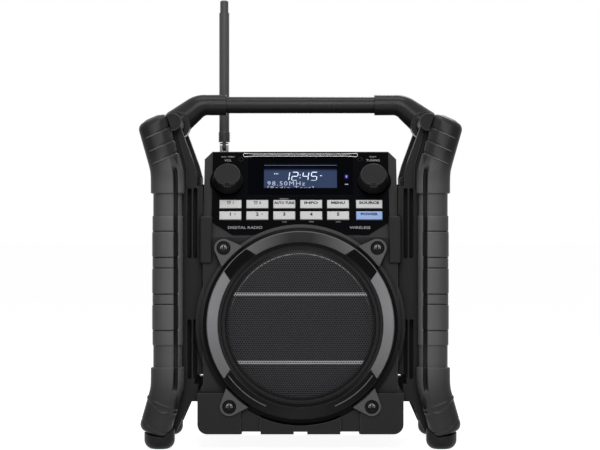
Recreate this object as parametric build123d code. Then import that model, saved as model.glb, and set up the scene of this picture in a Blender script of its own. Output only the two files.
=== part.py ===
from build123d import *
import math
import os

# Jobsite radio. Millimetres, +Z up, the front faces -Y.
# The origin is the middle of the footprint, on the surface that the feet stand on.

# ---------------------------------------------------------------- cabinet
cabinet_width = 186.6
cabinet_front = -95.0
cabinet_back = 95.0
cabinet_floor = 18.5
cabinet_top = 286.0
cabinet_wall = 3.5
shoulder_drop = 7.5
shoulder_in = 7.6
rear_corner_radius = 12.0
housing_split = 10.0
panel_foot = 203.0
panel_lean = 32.0
case_boss_radius = 5.0
case_boss_length = 26.0
case_screw_x = 76.0
case_screw_low = 34.0
case_screw_high = 262.0
case_head_radius = 4.0
case_head_height = 2.0
case_shank_radius = 1.5
case_shank_length = 18.0

# ---------------------------------------------------------------- control panel
fascia_width = 171.0
fascia_foot = 2.1
fascia_knee = 17.0
fascia_foot_width = 129.6
fascia_head = 96.4
fascia_sunk = 1.5
fascia_proud = 1.0
window_width = 102.4
window_foot = 46.3
window_head = 91.0
lens_step = 0.4
display_width = 92.0
display_foot = 50.0
display_head = 88.0
display_depth = 7.0
glass_width = 74.0
glass_height = 30.0
glass_relief = 0.6
trim_width = 114.0
trim_height = 2.8
trim_proud = 1.8
trim_rise = 0.5
trim_edge = 0.6
eyelet_radius = 3.0
eyelet_hole = 1.6
eyelet_drop = 1.8

# ---------------------------------------------------------------- keys
key_width = 21.2
power_key_width = 25.3
key_height = 9.4
key_proud = 1.5
key_gap = 0.3
key_pitch = 25.9
key_first = -67.4
power_key_x = 66.2
upper_row = 36.0
lower_row = 23.1
key_flange = 1.2
key_flange_thickness = 1.0
key_travel = 1.0
key_edge = 0.7
switch_gap = 0.4
switch_button = 0.8
switch_button_radius = 1.6
switch_body = 6.0
switch_height = 2.4
board_thickness = 1.6
keypad_width = 172.0
keypad_foot = 13.5
keypad_head = 46.0
keypad_post_radius = 2.6
keypad_post_inset = 2.6

# ---------------------------------------------------------------- knobs
knob_x = 70.6
knob_up = 62.8
knob_base_radius = 15.0
knob_face_radius = 12.8
knob_height = 12.0
knob_lift = 1.6
knob_edge = 0.8
knob_well_radius = 17.4
knob_well_depth = 0.8
knob_well_rim = 0.8
knob_cavity_radius = 6.0
knob_cavity_depth = 3.0
pointer_width = 6.0
pointer_length = 2.6
pointer_depth = 2.2
shaft_radius = 3.0
shaft_grip = 8.0
push_travel = 0.8
push_room = 0.5
running_gap = 0.05
seat_gap = 0.2
encoder_size = 13.0
encoder_depth = 8.0
encoder_bush_radius = 4.4
encoder_bush_proud = 2.0

# ---------------------------------------------------------------- speaker
speaker_z = 119.0
grille_radius = 77.2
grille_thickness = 1.2
grille_sight_radius = 75.2
lip_radius = 79.0
arc_inner_radius = 79.3
arc_outer_radius = 89.0
crest_radius = 89.8
flange_radius = 96.0
wing_radius = 100.3
wing_reach = 46.0
tab_inner_radius = 93.3
lip_height = 4.2
arc_inner_height = 5.6
arc_outer_height = 9.0
crest_height = 9.2
shoulder_height = 6.4
rim_height = 3.4
rim_skirt = 7.0
collar_inner_radius = 84.0
collar_depth = 24.0
collar_foot = 68.0
arc_thickness = 1.8
top_arc_span = 67.5
side_arc_span = 67.1
tab_upper_x = 73.5
tab_upper_z = 192.5
tab_lower_x = 68.1
tab_lower_z = 40.8
tab_tip_radius = 8.8
tab_height = 7.4
tab_spread = 8.6
bezel_screw_radius = 5.0
bezel_screw_head = 2.6
bezel_screw_sunk = 0.8
bezel_screw_shank = 2.0
bezel_screw_length = 12.0
screw_recess_radius = 6.6
screw_recess_depth = 1.4
cross_width = 1.1
cross_length = 5.4
cross_depth = 1.2
baffle_hole_radius = 73.0
basket_radius = 80.0
basket_rim = 3.0
basket_hole_radius = 70.5
basket_depth = 42.0
basket_foot_radius = 44.0
basket_wall = 2.0
magnet_radius = 40.0
magnet_depth = 22.0
magnet_plate = 4.0
surround_radius = 70.0
surround_width = 9.0
surround_rise = 2.4
surround_crown = 0.6
surround_half = 2.4
surround_thickness = 0.8
cone_thickness = 0.8
cone_neck_radius = 15.0
cone_depth = 22.0
cone_relief = 1.6
dust_cap_height = 7.0
dust_cap_radius = 18.0
dust_cap_thickness = 1.0
dome_steps = 5
voice_tube_radius = 12.0
voice_tube_reach = 6.0

# ---------------------------------------------------------------- bumpers
plinth_width = 197.0
plinth_floor = 14.5
plinth_top = 53.5
plinth_front = -101.0
plinth_back = 98.0
plinth_corner_radius = 9.5
plinth_gap = 0.2
plinth_bay_inner = 38.5
plinth_bay_outer = 57.5
plinth_bay_depth = 2.4
plinth_notch_height = 2.5
plinth_notch_width = 18.2
plinth_middle_notch = 13.0
plinth_notch_shift = 0.8
bumper_inner = 84.6
bumper_outer = 96.0
bumper_low = 178.0
bumper_high = 223.0
bumper_front = -97.8
bumper_back = -66.0
bumper_edge = 1.6
bumper_gap = 0.4

# ---------------------------------------------------------------- roll cage
post_x = 126.8
post_y = -100.0
neck_width = 27.4
neck_depth = 26.0
guard_width = 29.4
guard_depth = 28.8
collar_width = 31.8
collar_thickness = 30.0
post_corner_radius = 10.5
upper_splay_z = 264.9
upper_collar_z = 244.5
guard_top = 223.5
guard_bottom = 99.6
lower_collar_z = 78.7
lower_splay_z = 60.0
splay_out = 16.5
splay_back = 9.5
post_head_z = 323.0
post_head_x = 130.0
post_head_slope = 24.0
post_tail_z = 7.4
post_tail_x = 129.7
post_tail_slope = 24.0
post_end_radius = 6.0
channel_offset = 8.1
channel_width = 4.0
channel_depth = 2.6
guard_groove = 1.2
guard_groove_depth = 0.9
guard_pad_tops = (208.4, 173.5, 138.9)
guard_pad_height = 24.9
foot_x = 135.0
foot_y = -91.6
foot_radius = 14.6
foot_height = 21.0
foot_round = 9.0
foot_top_round = 2.0

# ---------------------------------------------------------------- side frames
frame_inner = 99.5
frame_plate = 7.0
frame_low = 71.0
web_inner = 94.0
web_high = 252.0
frame_high = 262.0
frame_toe_x = 119.0
frame_toe_z = 16.0
lug_tip_x = 98.7
lug_root_x = 106.2
lug_neck_x = 102.2
lug_low = 45.0
lug_high = 61.0
frame_knee_x = 103.0
frame_knee_z = 275.0
frame_bar_x = 122.5
frame_bar_z = 313.0
frame_bar_radius = 8.0
frame_bar_inset = 5.6
gusset_depth = 20.0
gusset_outer = 127.0
slot_width = 4.0
slot_depth = 16.0
slot_first = 101.0
slot_pitch = 5.6
upper_slot_low = 182.0
upper_slot_high = 250.0
lower_slot_low = 66.0
lower_slot_high = 124.0
rib_height = 6.0
rib_reach = 9.5
rib_levels = (96.0, 160.0, 224.0)
rail_width = 11.0
rail_high = 254.0
frame_bolt_y = 46.0
frame_bolt_low = 78.0
frame_bolt_high = 242.0
frame_bolt_radius = 2.5
frame_head_radius = 5.5
frame_head_height = 3.2

# ---------------------------------------------------------------- handle
handle_rise = 20.4
handle_radius = 8.2
handle_wall = 1.6
handle_grip_end = 73.3
handle_tube_end = 90.0
elbow_radius = 10.2
elbow_bend_x = 100.0
elbow_bend_radius = 20.0
elbow_bend_steps = 4
elbow_shoulder_radius = 11.8
elbow_foot_radius = 14.0
elbow_foot_rise = 2.5
elbow_eye_radius = 13.6
elbow_eye_width = 26.0

# ---------------------------------------------------------------- antenna
antenna_x = -77.8
antenna_y = 80.0
turret_radius = 5.4
turret_height = 2.4
turret_stem_radius = 3.6
turret_boss_radius = 7.5
turret_boss_drop = 4.0
turret_washer_radius = 5.2
turret_washer = 1.6
turret_washer_gap = 0.3
fork_width = 9.0
fork_depth = 9.0
fork_slot = 4.0
fork_edge = 2.7
fork_top = 298.6
pivot_z = 293.6
pivot_pin_radius = 1.4
tang_width = 3.6
tang_depth = 7.0
mast_radius = 5.1
sleeve_radius = 5.9
sleeve_groove_radius = 5.4
sleeve_bottom = 299.2
sleeve_top = 309.7
sleeve_ribs = 5
mast_tip_z = 431.0
mast_tip_radius = 4.2
mast_tip_edge = 1.0
mast_top = 443.6

# ---------------------------------------------------------------- batteries and back
tray_half = 66.0
tray_floor = 70.0
tray_front = 53.5
tray_wall = 2.0
cell_radius = 17.1
cell_length = 58.0
cell_nub_radius = 4.8
cell_nub = 1.6
cell_gap = 0.15
spring_radius = 6.0
spring_turns = 3
spring_taper = 1.0
spring_neck = 2.4
contact_thickness = 0.8
door_half = 72.0
door_low = 64.0
door_high = 190.0
door_thickness = 3.0
door_gap = 0.4
door_corner_radius = 6.0
door_inset = 12.0
door_step = 1.6
hinge_radius = 3.6
hinge_pin_radius = 1.8
hinge_z = 60.0
hinge_lug = 8.0
hinge_lug_x = 50.0
latch_width = 30.0
latch_height = 18.0
latch_thickness = 2.6
latch_travel = 8.0
latch_over = 4.0
latch_key = 2.0
latch_key_half = 4.0
latch_edge = 0.9
latch_ribs = 3
latch_rib_width = 18.0
latch_rib_height = 1.5
latch_rib_pitch = 3.6
latch_rib_first = 4.5
latch_rib_proud = 1.0
socket_half_width = 26.0
socket_x = 48.0
socket_low = 214.0
socket_high = 240.0
socket_plate = 3.0
jack_radius = 3.6
jack_bore_radius = 1.8
inlet_radius = 5.4
inlet_bore_radius = 3.2
inlet_pin_radius = 1.0
jack_spacing = 22.0
jack_depth = 12.0
flap_thickness = 2.4
flap_margin = 3.0
flap_pin_radius = 1.6
flap_barrel_radius = 3.0
flap_lug = 6.0
main_board_width = 120.0
main_board_depth = 62.0
main_board_front = 20.0
main_board_drop = 9.0
board_post_inset = 6.4
chip_size = 18.0
chip_height = 2.2

half_width = cabinet_width / 2
handle_z = frame_bar_z + handle_rise
lean = math.radians(panel_lean)
panel = Plane(
    origin=(0, cabinet_front, panel_foot),
    x_dir=(1, 0, 0),
    z_dir=(0, -math.cos(lean), math.sin(lean)),
)
speaker = Plane(origin=(0, cabinet_front, speaker_z), x_dir=(1, 0, 0), z_dir=(0, -1, 0))
fascia_back = -fascia_sunk
panel_inside = -cabinet_wall


# ---------------------------------------------------------------- building blocks
def block(x0, x1, y0, y1, z0, z1):
    """Box between two corners."""
    middle = Pos((x0 + x1) / 2, (y0 + y1) / 2, (z0 + z1) / 2)
    return middle * Box(x1 - x0, y1 - y0, z1 - z0)


def rod_x(radius, x0, x1, y, z):
    """Round bar along X."""
    return Pos((x0 + x1) / 2, y, z) * Rot(0, 90, 0) * Cylinder(radius, x1 - x0)


def rod_y(radius, y0, y1, x, z):
    """Round bar along Y."""
    return Pos(x, (y0 + y1) / 2, z) * Rot(90, 0, 0) * Cylinder(radius, y1 - y0)


def rod_z(radius, z0, z1, x, y):
    """Round bar along Z."""
    return Pos(x, y, (z0 + z1) / 2) * Cylinder(radius, z1 - z0)


def outline(*points):
    """Flat face inside a closed run of straight edges."""
    return make_face(Polyline(*points, close=True))


def turned(*points):
    """Solid of revolution about Z of an outline in radius and height."""
    return revolve(Plane.XZ * outline(*points), axis=Axis.Z, revolution_arc=360)


def group(shapes):
    """Separate solids kept together in one node."""
    return Compound([solid for shape in shapes for solid in shape.solids()])


def left_and_right(shape):
    """A solid and its mirror image across the middle of the radio."""
    return [shape, mirror(shape, about=Plane.YZ)]


def four_corners(shape):
    """A solid at all four corners of the radio."""
    front = left_and_right(shape)
    return front + [mirror(one, about=Plane.XZ) for one in front]


def save(shape, name):
    """Write one node."""
    export_step(shape, "parts/" + name + ".step")


# ---------------------------------------------------------------- cabinet
def cabinet_form(inset):
    """Solid cabinet with a leaning control panel, moved inwards by inset."""
    wide = half_width - inset
    front = cabinet_front + inset
    back = cabinet_back - inset
    floor = cabinet_floor + inset
    top = cabinet_top - inset
    foot = panel_foot - inset * math.tan(lean / 2)
    head_y = front + (top - foot) * math.tan(lean)
    side_view = outline((front, floor), (back, floor), (back, top), (head_y, top), (front, foot))
    shoulder = top - shoulder_drop
    narrow = wide - shoulder_in
    front_view = outline(
        (-wide, floor), (wide, floor), (wide, shoulder),
        (narrow, top), (-narrow, top), (-wide, shoulder),
    )
    length = extrude(Plane.YZ * side_view, amount=wide, both=True)
    breadth = extrude(Plane.XZ * front_view, amount=cabinet_back - cabinet_front, both=True)
    form = length & breadth
    corners = form.edges().filter_by(Axis.Z).group_by(Axis.Y)[-1]
    return fillet(corners, rear_corner_radius - inset)


cabinet = cabinet_form(0)
cabinet_inside = cabinet_form(cabinet_wall)
inner_back = cabinet_back - cabinet_wall
inner_top = cabinet_top - cabinet_wall
inner_front = cabinet_front + cabinet_wall
case_screw_places = [
    (side * case_screw_x, height)
    for side in (-1, 1)
    for height in (case_screw_low, case_screw_high)
]
frame_bolt_places = [
    (side * frame_bolt_y, height)
    for side in (-1, 1)
    for height in (frame_bolt_low, frame_bolt_high)
]


# ---------------------------------------------------------------- screws
def case_screws():
    """Rear case screws and the side frames' bolts."""
    screws = []
    for x, z in case_screw_places:
        head = rod_y(case_head_radius, cabinet_back - case_head_height, cabinet_back, x, z)
        shank_end = cabinet_back - case_head_height - case_shank_length
        shank = rod_y(case_shank_radius, shank_end, cabinet_back - case_head_height, x, z)
        screws.append(head + shank)
    seat = frame_inner + frame_plate
    for y, z in frame_bolt_places:
        head = rod_x(frame_head_radius, seat, seat + frame_head_height, y, z)
        shank = rod_x(frame_bolt_radius, half_width - cabinet_wall, seat, y, z)
        screws += left_and_right(head + shank)
    return group(screws)


screws = case_screws()

# ---------------------------------------------------------------- control panel
key_places = [key_first + key_pitch * column for column in range(5)] + [power_key_x]


def width_of_key(x):
    """The last column's keys are wider than the others."""
    return power_key_width if x == power_key_x else key_width


def fascia_blank():
    """Fascia plate before its holes: a six-sided plate with two round knob fields."""
    side = fascia_width / 2
    toe = fascia_foot_width / 2
    plate = outline(
        (-side, fascia_knee), (-toe, fascia_foot), (toe, fascia_foot),
        (side, fascia_knee), (side, fascia_head), (-side, fascia_head),
    )
    thickness = fascia_sunk + fascia_proud
    form = Pos(0, 0, fascia_back) * extrude(plate, amount=thickness)
    for x in (-knob_x, knob_x):
        form += rod_z(knob_well_radius, fascia_back, fascia_proud, x, knob_up)
    return panel * form


def fascia_holes():
    """Window, keys, encoder bushes and the sunk fields round the knobs."""
    top = fascia_proud
    window = block(-window_width / 2, window_width / 2, window_foot, window_head, fascia_back, top)
    holes = window
    for x in key_places:
        for row in (upper_row, lower_row):
            wide = width_of_key(x) / 2 + key_gap
            high = key_height / 2 + key_gap
            holes += block(x - wide, x + wide, row - high, row + high, fascia_back, top)
    for x in (-knob_x, knob_x):
        holes += rod_z(knob_well_radius - knob_well_rim, top - knob_well_depth, top, x, knob_up)
        holes += rod_z(encoder_bush_radius, fascia_back, top, x, knob_up)
    return panel * holes


blank = fascia_blank()
fascia = blank - fascia_holes()
window_lens = panel * block(
    -window_width / 2, window_width / 2, window_foot, window_head,
    fascia_back, fascia_proud - lens_step,
)


def display():
    """Display module with its glass set a little below the frame."""
    middle = (display_foot + display_head) / 2
    case = block(
        -display_width / 2, display_width / 2, display_foot, display_head,
        fascia_back - display_depth, fascia_back,
    )
    glass = block(
        -glass_width / 2, glass_width / 2, middle - glass_height / 2, middle + glass_height / 2,
        fascia_back - glass_relief, fascia_back,
    )
    return panel * (case - glass)


def trim():
    """Bright strip over the window with a small eyelet curled down at each end."""
    centre = (window_head + fascia_head) / 2 + trim_rise
    top = fascia_proud + trim_proud
    strip = block(
        -trim_width / 2, trim_width / 2, centre - trim_height / 2, centre + trim_height / 2,
        fascia_proud, top,
    )
    strip = fillet(strip.edges().filter_by(Axis.X).group_by(Axis.Z)[-1], trim_edge)
    for x in (-trim_width / 2, trim_width / 2):
        strip += rod_z(eyelet_radius, fascia_proud, top, x, centre - eyelet_drop)
    for x in (-trim_width / 2, trim_width / 2):
        strip -= rod_z(eyelet_hole, fascia_proud, top, x, centre - eyelet_drop)
    return panel * strip


# ---------------------------------------------------------------- keys, keypad and knobs
flange_front = fascia_back - key_gap
flange_back = flange_front - key_flange_thickness
switch_top = flange_back - key_travel - switch_gap
switch_base = switch_top - switch_button - switch_height
opening_margin = key_flange + 2 * key_gap
keypad_left = key_first - key_width / 2 - opening_margin
keypad_right = power_key_x + power_key_width / 2 + opening_margin
keypad_low = lower_row - key_height / 2 - opening_margin
keypad_high = upper_row + key_height / 2 + opening_margin


def key(x, row):
    """Key cap with a flange behind the fascia that keeps it in its hole."""
    wide = width_of_key(x) / 2
    high = key_height / 2
    front = fascia_proud + key_proud
    cap = block(x - wide, x + wide, row - high, row + high, flange_front, front)
    cap = fillet(cap.faces().sort_by(Axis.Z)[-1].edges(), key_edge)
    rim_wide = wide + key_flange
    rim_high = high + key_flange
    rim = block(x - rim_wide, x + rim_wide, row - rim_high, row + rim_high, flange_back, flange_front)
    return panel * (cap + rim)


def keypad_posts():
    """Four posts on the back of the panel that carry the keypad board."""
    posts = []
    side = keypad_width / 2 - keypad_post_inset
    for x in (-side, side):
        for up in (keypad_foot + keypad_post_inset, keypad_head - keypad_post_inset):
            posts.append(panel * rod_z(keypad_post_radius, switch_base, panel_inside, x, up))
    return posts


def keypad_board():
    """Circuit board with one push switch behind each key."""
    board = block(
        -keypad_width / 2, keypad_width / 2, keypad_foot, keypad_head,
        switch_base - board_thickness, switch_base,
    )
    half = switch_body / 2
    for x in key_places:
        for row in (upper_row, lower_row):
            shoulder = switch_base + switch_height
            board += block(x - half, x + half, row - half, row + half, switch_base, shoulder)
            board += rod_z(switch_button_radius, shoulder, switch_top, x, row)
    return panel * board


encoder_back = panel_inside - encoder_depth
shaft_end = encoder_back + push_travel + push_room
shaft_head = knob_lift + knob_cavity_depth + shaft_grip


def encoder(x):
    """Rotary encoder clamped behind the panel, its bush through the wall and the fascia."""
    half = encoder_size / 2
    case = block(x - half, x + half, knob_up - half, knob_up + half, encoder_back, panel_inside)
    bush = rod_z(encoder_bush_radius, panel_inside, encoder_bush_proud, x, knob_up)
    bore = rod_z(shaft_radius + running_gap, encoder_back, encoder_bush_proud, x, knob_up)
    return panel * (case + bush - bore)


def shaft(x):
    """Knob shaft."""
    return panel * rod_z(shaft_radius, shaft_end, shaft_head, x, knob_up)


def knob(x, bore_gap):
    """Round knob, tapered towards its face, with a pointer notch at the bottom of the face."""
    top = knob_lift + knob_height
    form = turned(
        (0, knob_lift), (knob_base_radius - knob_edge, knob_lift),
        (knob_base_radius, knob_lift + knob_edge), (knob_face_radius, top - knob_edge),
        (knob_face_radius - knob_edge, top), (0, top),
    )
    form -= rod_z(knob_cavity_radius, knob_lift, knob_lift + knob_cavity_depth, 0, 0)
    form -= rod_z(shaft_radius + bore_gap, knob_lift, shaft_head + bore_gap, 0, 0)
    notch_start = -knob_base_radius
    notch_end = -knob_face_radius + pointer_length
    half = pointer_width / 2
    form -= block(-half, half, notch_start, notch_end, top - pointer_depth, top)
    return panel * Pos(x, knob_up, 0) * form


# ---------------------------------------------------------------- speaker
def tab_outline(x, z, gap):
    """Screw tab: a round tip joined by straight sides to the edge of the bezel flange."""
    up = z - speaker_z
    direction = math.atan2(up, x)
    spread = math.radians(tab_spread)
    tip = Pos(x, up) * Circle(tab_tip_radius + gap)
    root = tab_inner_radius
    start = (root * math.cos(direction - spread), root * math.sin(direction - spread))
    end = (root * math.cos(direction + spread), root * math.sin(direction + spread))
    return make_hull([*tip.edges(), Line(start, end)])


tab_places = [
    (side * x, z)
    for side in (-1, 1)
    for x, z in ((tab_upper_x, tab_upper_z), (tab_lower_x, tab_lower_z))
]


def bezel_ring():
    """Speaker bezel: lip, sloping face, crest and outer flange, with a seat behind for the grille."""
    ring = turned(
        (grille_radius, 0), (grille_radius, grille_thickness),
        (grille_sight_radius, grille_thickness), (grille_sight_radius, lip_height),
        (lip_radius, lip_height), (arc_inner_radius, arc_inner_height),
        (arc_outer_radius, arc_outer_height), (crest_radius, crest_height),
        (crest_radius, shoulder_height), (flange_radius, rim_height), (flange_radius, 0),
    )
    wing = turned(
        (collar_inner_radius, 0), (wing_radius, 0), (wing_radius, -rim_skirt),
        (collar_inner_radius, -rim_skirt),
    )
    collar = turned(
        (collar_inner_radius, 0), (flange_radius, 0),
        (flange_radius, -collar_depth), (collar_inner_radius, -collar_depth),
    )
    reach = 2 * wing_radius
    collar &= block(-reach, reach, collar_foot, reach, -collar_depth, 0)
    wing &= block(-reach, reach, -wing_reach, wing_reach, -rim_skirt, 0)
    return ring + collar + wing


def bezel_arcs():
    """Three satin arcs let into the sloping face: one at the top and one at each side."""
    face = [
        (arc_inner_radius, arc_inner_height), (arc_outer_radius, arc_outer_height),
        (arc_outer_radius, arc_outer_height - arc_thickness),
        (arc_inner_radius, arc_inner_height - arc_thickness),
    ]
    arcs = []
    for middle, span in ((90, top_arc_span), (180, side_arc_span), (0, side_arc_span)):
        strip = revolve(Plane.XZ * outline(*face), axis=Axis.Z, revolution_arc=span)
        arcs.append(speaker * Rot(0, 0, middle - span / 2) * strip)
    return group(arcs)


def bezel_screws():
    """Four cross-head screws, sunk in the tabs."""
    screws_made = []
    top = tab_height - bezel_screw_sunk
    for x, z in tab_places:
        up = z - speaker_z
        head = rod_z(bezel_screw_radius, top - bezel_screw_head, top, x, up)
        shank = rod_z(bezel_screw_shank, top - bezel_screw_head - bezel_screw_length, top, x, up)
        half = cross_length / 2
        thin = cross_width / 2
        cross = block(x - half, x + half, up - thin, up + thin, top - cross_depth, top)
        cross += block(x - thin, x + thin, up - half, up + half, top - cross_depth, top)
        screws_made.append(speaker * (head + shank - cross))
    return group(screws_made)


def speaker_bezel(arcs, tab_screws):
    """Bezel with its four tabs, cut to seat on the cabinet and the fascia."""
    form = bezel_ring()
    for x, z in tab_places:
        tab = extrude(tab_outline(x, z, 0), amount=tab_height)
        tab -= rod_z(tab_inner_radius, shoulder_height, tab_height, 0, 0)
        tab -= rod_z(crest_radius, 0, tab_height, 0, 0)
        form += tab
    for x, z in tab_places:
        up = z - speaker_z
        well = tab_height - screw_recess_depth
        form -= rod_z(screw_recess_radius, well, tab_height, x, up)
        form -= rod_z(bezel_screw_radius, tab_height - bezel_screw_sunk - bezel_screw_head, well, x, up)
    return speaker * form - arcs - tab_screws - cabinet - blank


def bezel_shadow(gap):
    """Everything in front of the cabinet that the bezel covers, grown by a gap."""
    reach = cabinet_wall + collar_depth
    shadow = extrude(Circle(flange_radius + gap), amount=reach)
    for x, z in tab_places:
        shadow += extrude(tab_outline(x, z, gap), amount=reach)
    return speaker * shadow


rim_front = panel_inside
rim_back = rim_front - basket_rim
basket_end = rim_back - basket_depth
cone_edge = surround_radius - surround_width
cone_front = rim_front - cone_relief
cone_slope = cone_depth / (cone_edge - voice_tube_radius)


def basket():
    """Pressed speaker basket."""
    return speaker * turned(
        (basket_hole_radius, rim_front), (basket_radius, rim_front), (basket_radius, rim_back),
        (basket_hole_radius + basket_wall, rim_back), (basket_foot_radius, basket_end),
        (cone_neck_radius, basket_end), (cone_neck_radius, basket_end + basket_wall),
        (basket_foot_radius - basket_wall, basket_end + basket_wall), (basket_hole_radius, rim_back),
    )


def magnet():
    """Magnet ring with its back plate and pole in one form."""
    end = basket_end - magnet_depth
    gap_inner = voice_tube_radius - 2 * cone_thickness
    return speaker * turned(
        (0, end), (magnet_radius, end), (magnet_radius, basket_end), (cone_neck_radius, basket_end),
        (cone_neck_radius, end + magnet_plate), (gap_inner, end + magnet_plate),
        (gap_inner, basket_end), (0, basket_end),
    )


def surround():
    """Half-round rubber roll between the cone and the basket."""
    inner = cone_edge
    outer = basket_hole_radius
    middle = (inner + outer) / 2
    high = cone_front + surround_rise
    flank = high - surround_crown
    inside = surround_half - surround_thickness / 4
    return speaker * turned(
        (inner, cone_front - cone_thickness), (inner, cone_front), (middle - surround_half, flank),
        (middle, high), (middle + surround_half, flank), (outer, cone_front),
        (outer, cone_front - cone_thickness), (middle + inside, flank - surround_thickness),
        (middle, high - surround_thickness), (middle - inside, flank - surround_thickness),
    )


def cone():
    """Thin speaker cone with its voice coil tube."""
    tube_inside = voice_tube_radius - cone_thickness
    neck = cone_front - cone_depth
    tube_end = basket_end - voice_tube_reach
    return speaker * turned(
        (cone_edge, cone_front), (cone_edge, cone_front - cone_thickness),
        (voice_tube_radius, neck - cone_thickness), (voice_tube_radius, tube_end),
        (tube_inside, tube_end), (tube_inside, neck), (voice_tube_radius, neck),
    )


def dome(radius, foot, top):
    """Points of a quarter ellipse from its foot up to the axis, in radius and height."""
    turns = [math.pi / 2 * number / dome_steps for number in range(dome_steps)]
    arc = [(radius * math.cos(turn), foot + (top - foot) * math.sin(turn)) for turn in turns]
    return [*arc, (0, top)]


def dust_cap():
    """Domed cap that stands on the cone."""
    inner = dust_cap_radius - dust_cap_thickness
    foot = cone_front - (cone_edge - dust_cap_radius) * cone_slope
    inner_foot = cone_front - (cone_edge - inner) * cone_slope
    top = foot + dust_cap_height
    outside = dome(dust_cap_radius, foot, top)
    inside = dome(inner, inner_foot, top - dust_cap_thickness)
    return speaker * turned(*outside, *reversed(inside))


# ---------------------------------------------------------------- bumpers
def bottom_bumper(bezel_cut):
    """Tub under the cabinet with two sunk bays and three notches along its front."""
    half = plinth_width / 2
    form = block(-half, half, plinth_front, plinth_back, plinth_floor, plinth_top)
    lower_edges = form.edges().filter_by(Axis.Y).group_by(Axis.Z)[0]
    form = fillet(lower_edges, plinth_corner_radius)
    inner, outer = plinth_bay_inner, plinth_bay_outer
    bay_back = plinth_front + plinth_bay_depth
    for low, high in ((-outer, -inner), (inner, outer)):
        form -= block(low, high, plinth_front, bay_back, plinth_floor, plinth_top)
    notch_top = plinth_floor + plinth_notch_height
    middle = (inner + outer) / 2 - plinth_notch_shift
    notches = ((-middle, plinth_notch_width), (0, plinth_middle_notch), (middle, plinth_notch_width))
    for x, wide in notches:
        form -= block(x - wide / 2, x + wide / 2, plinth_front, plinth_back, plinth_floor, notch_top)
    return form - cabinet - bezel_cut


def corner_bumper():
    """Rounded strip on the right front corner of the cabinet."""
    strip = block(bumper_inner, bumper_outer, bumper_front, bumper_back, bumper_low, bumper_high)
    return fillet(strip.edges(), bumper_edge)


# ---------------------------------------------------------------- roll cage
def post_section(z, out, back, width, depth):
    """Rounded section of the right front post."""
    return Pos(post_x + out, post_y + back, z) * RectangleRounded(width, depth, post_corner_radius)


def post_length(width, depth, low, high):
    """Straight length of the post."""
    return extrude(post_section(low, 0, 0, width, depth), amount=high - low)


def post_end(root_z, end_z):
    """Splayed end of the post, leaning outwards and towards the middle of the radio."""
    rise = abs(end_z - root_z)
    out = rise * math.tan(math.radians(splay_out))
    back = rise * math.tan(math.radians(splay_back))
    root = post_section(root_z, 0, 0, collar_width, collar_thickness)
    end = post_section(end_z, out, back, collar_width, collar_thickness)
    sections = [root, end] if end_z > root_z else [end, root]
    return loft(sections, ruled=True)


def front_channel():
    """Upright channel down the front of the post and its guard."""
    middle = post_x - channel_offset
    half = channel_width / 2
    bottom = post_y - neck_depth / 2 + channel_depth
    return block(middle - half, middle + half, post_y - collar_thickness, bottom,
                 lower_splay_z - channel_width, upper_splay_z + channel_width)


def post():
    """Right front post with a splayed and sloped end above and below."""
    spare = collar_width / 2
    form = post_length(neck_width, neck_depth, lower_collar_z, upper_collar_z)
    form += post_length(collar_width, collar_thickness, lower_splay_z, lower_collar_z)
    form += post_length(collar_width, collar_thickness, upper_collar_z, upper_splay_z)
    form += post_end(upper_splay_z, post_head_z + spare)
    form += post_end(lower_splay_z, post_tail_z - spare)
    far = post_head_z
    above = Pos(post_head_x, post_y, post_head_z) * Rot(0, post_head_slope, 0)
    below = Pos(post_tail_x, post_y, post_tail_z) * Rot(0, -post_tail_slope, 0)
    form -= above * Pos(0, 0, far / 2) * Box(far, far, far)
    form -= below * Pos(0, 0, -far / 2) * Box(far, far, far)
    form = fillet(form.faces().sort_by(Axis.Z)[-1].edges(), post_end_radius)
    form = fillet(form.faces().sort_by(Axis.Z)[0].edges(), post_end_radius)
    return form - front_channel()


def post_guard():
    """Rubber guard round the neck of the right front post, with raised pads between grooves."""
    form = post_length(guard_width, guard_depth, guard_bottom, guard_top)
    form -= post_length(neck_width, neck_depth, guard_bottom, guard_top)
    skin = post_length(guard_width, guard_depth, guard_bottom, guard_top)
    thin_width = guard_width - 2 * guard_groove_depth
    thin_depth = guard_depth - 2 * guard_groove_depth
    skin -= post_length(thin_width, thin_depth, guard_bottom, guard_top)
    for top in guard_pad_tops:
        for level in (top, top - guard_pad_height):
            reach = post_x + guard_width
            low = level - guard_groove / 2
            band = block(0, reach, post_y - guard_depth, post_y + guard_depth, low, low + guard_groove)
            form -= skin & band
    return form - front_channel()


def rubber_foot(right_post):
    """Round foot under the post's lower end."""
    form = rod_z(foot_radius, 0, foot_height, foot_x, foot_y)
    form = fillet(form.edges().group_by(Axis.Z)[0], foot_round)
    form = fillet(form.edges().group_by(Axis.Z)[-1], foot_top_round)
    return form - right_post


# ---------------------------------------------------------------- handle
elbow_foot_z = frame_bar_z + elbow_foot_rise
bend_angle = math.atan2(handle_z - elbow_foot_z, frame_bar_x - elbow_bend_x)
bend_tangent = elbow_bend_radius * math.tan(bend_angle / 2)
bend_start = elbow_bend_x - bend_tangent
slope_x = elbow_bend_x + bend_tangent * math.cos(bend_angle)
slope_z = handle_z - bend_tangent * math.sin(bend_angle)
slope_length = math.hypot(frame_bar_x - slope_x, slope_z - elbow_foot_z)


def handle_tube():
    """Straight handle tube along X."""
    end = handle_tube_end
    tube = rod_x(handle_radius, -end, end, 0, handle_z)
    return tube - rod_x(handle_radius - handle_wall, -end, end, 0, handle_z)


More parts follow.
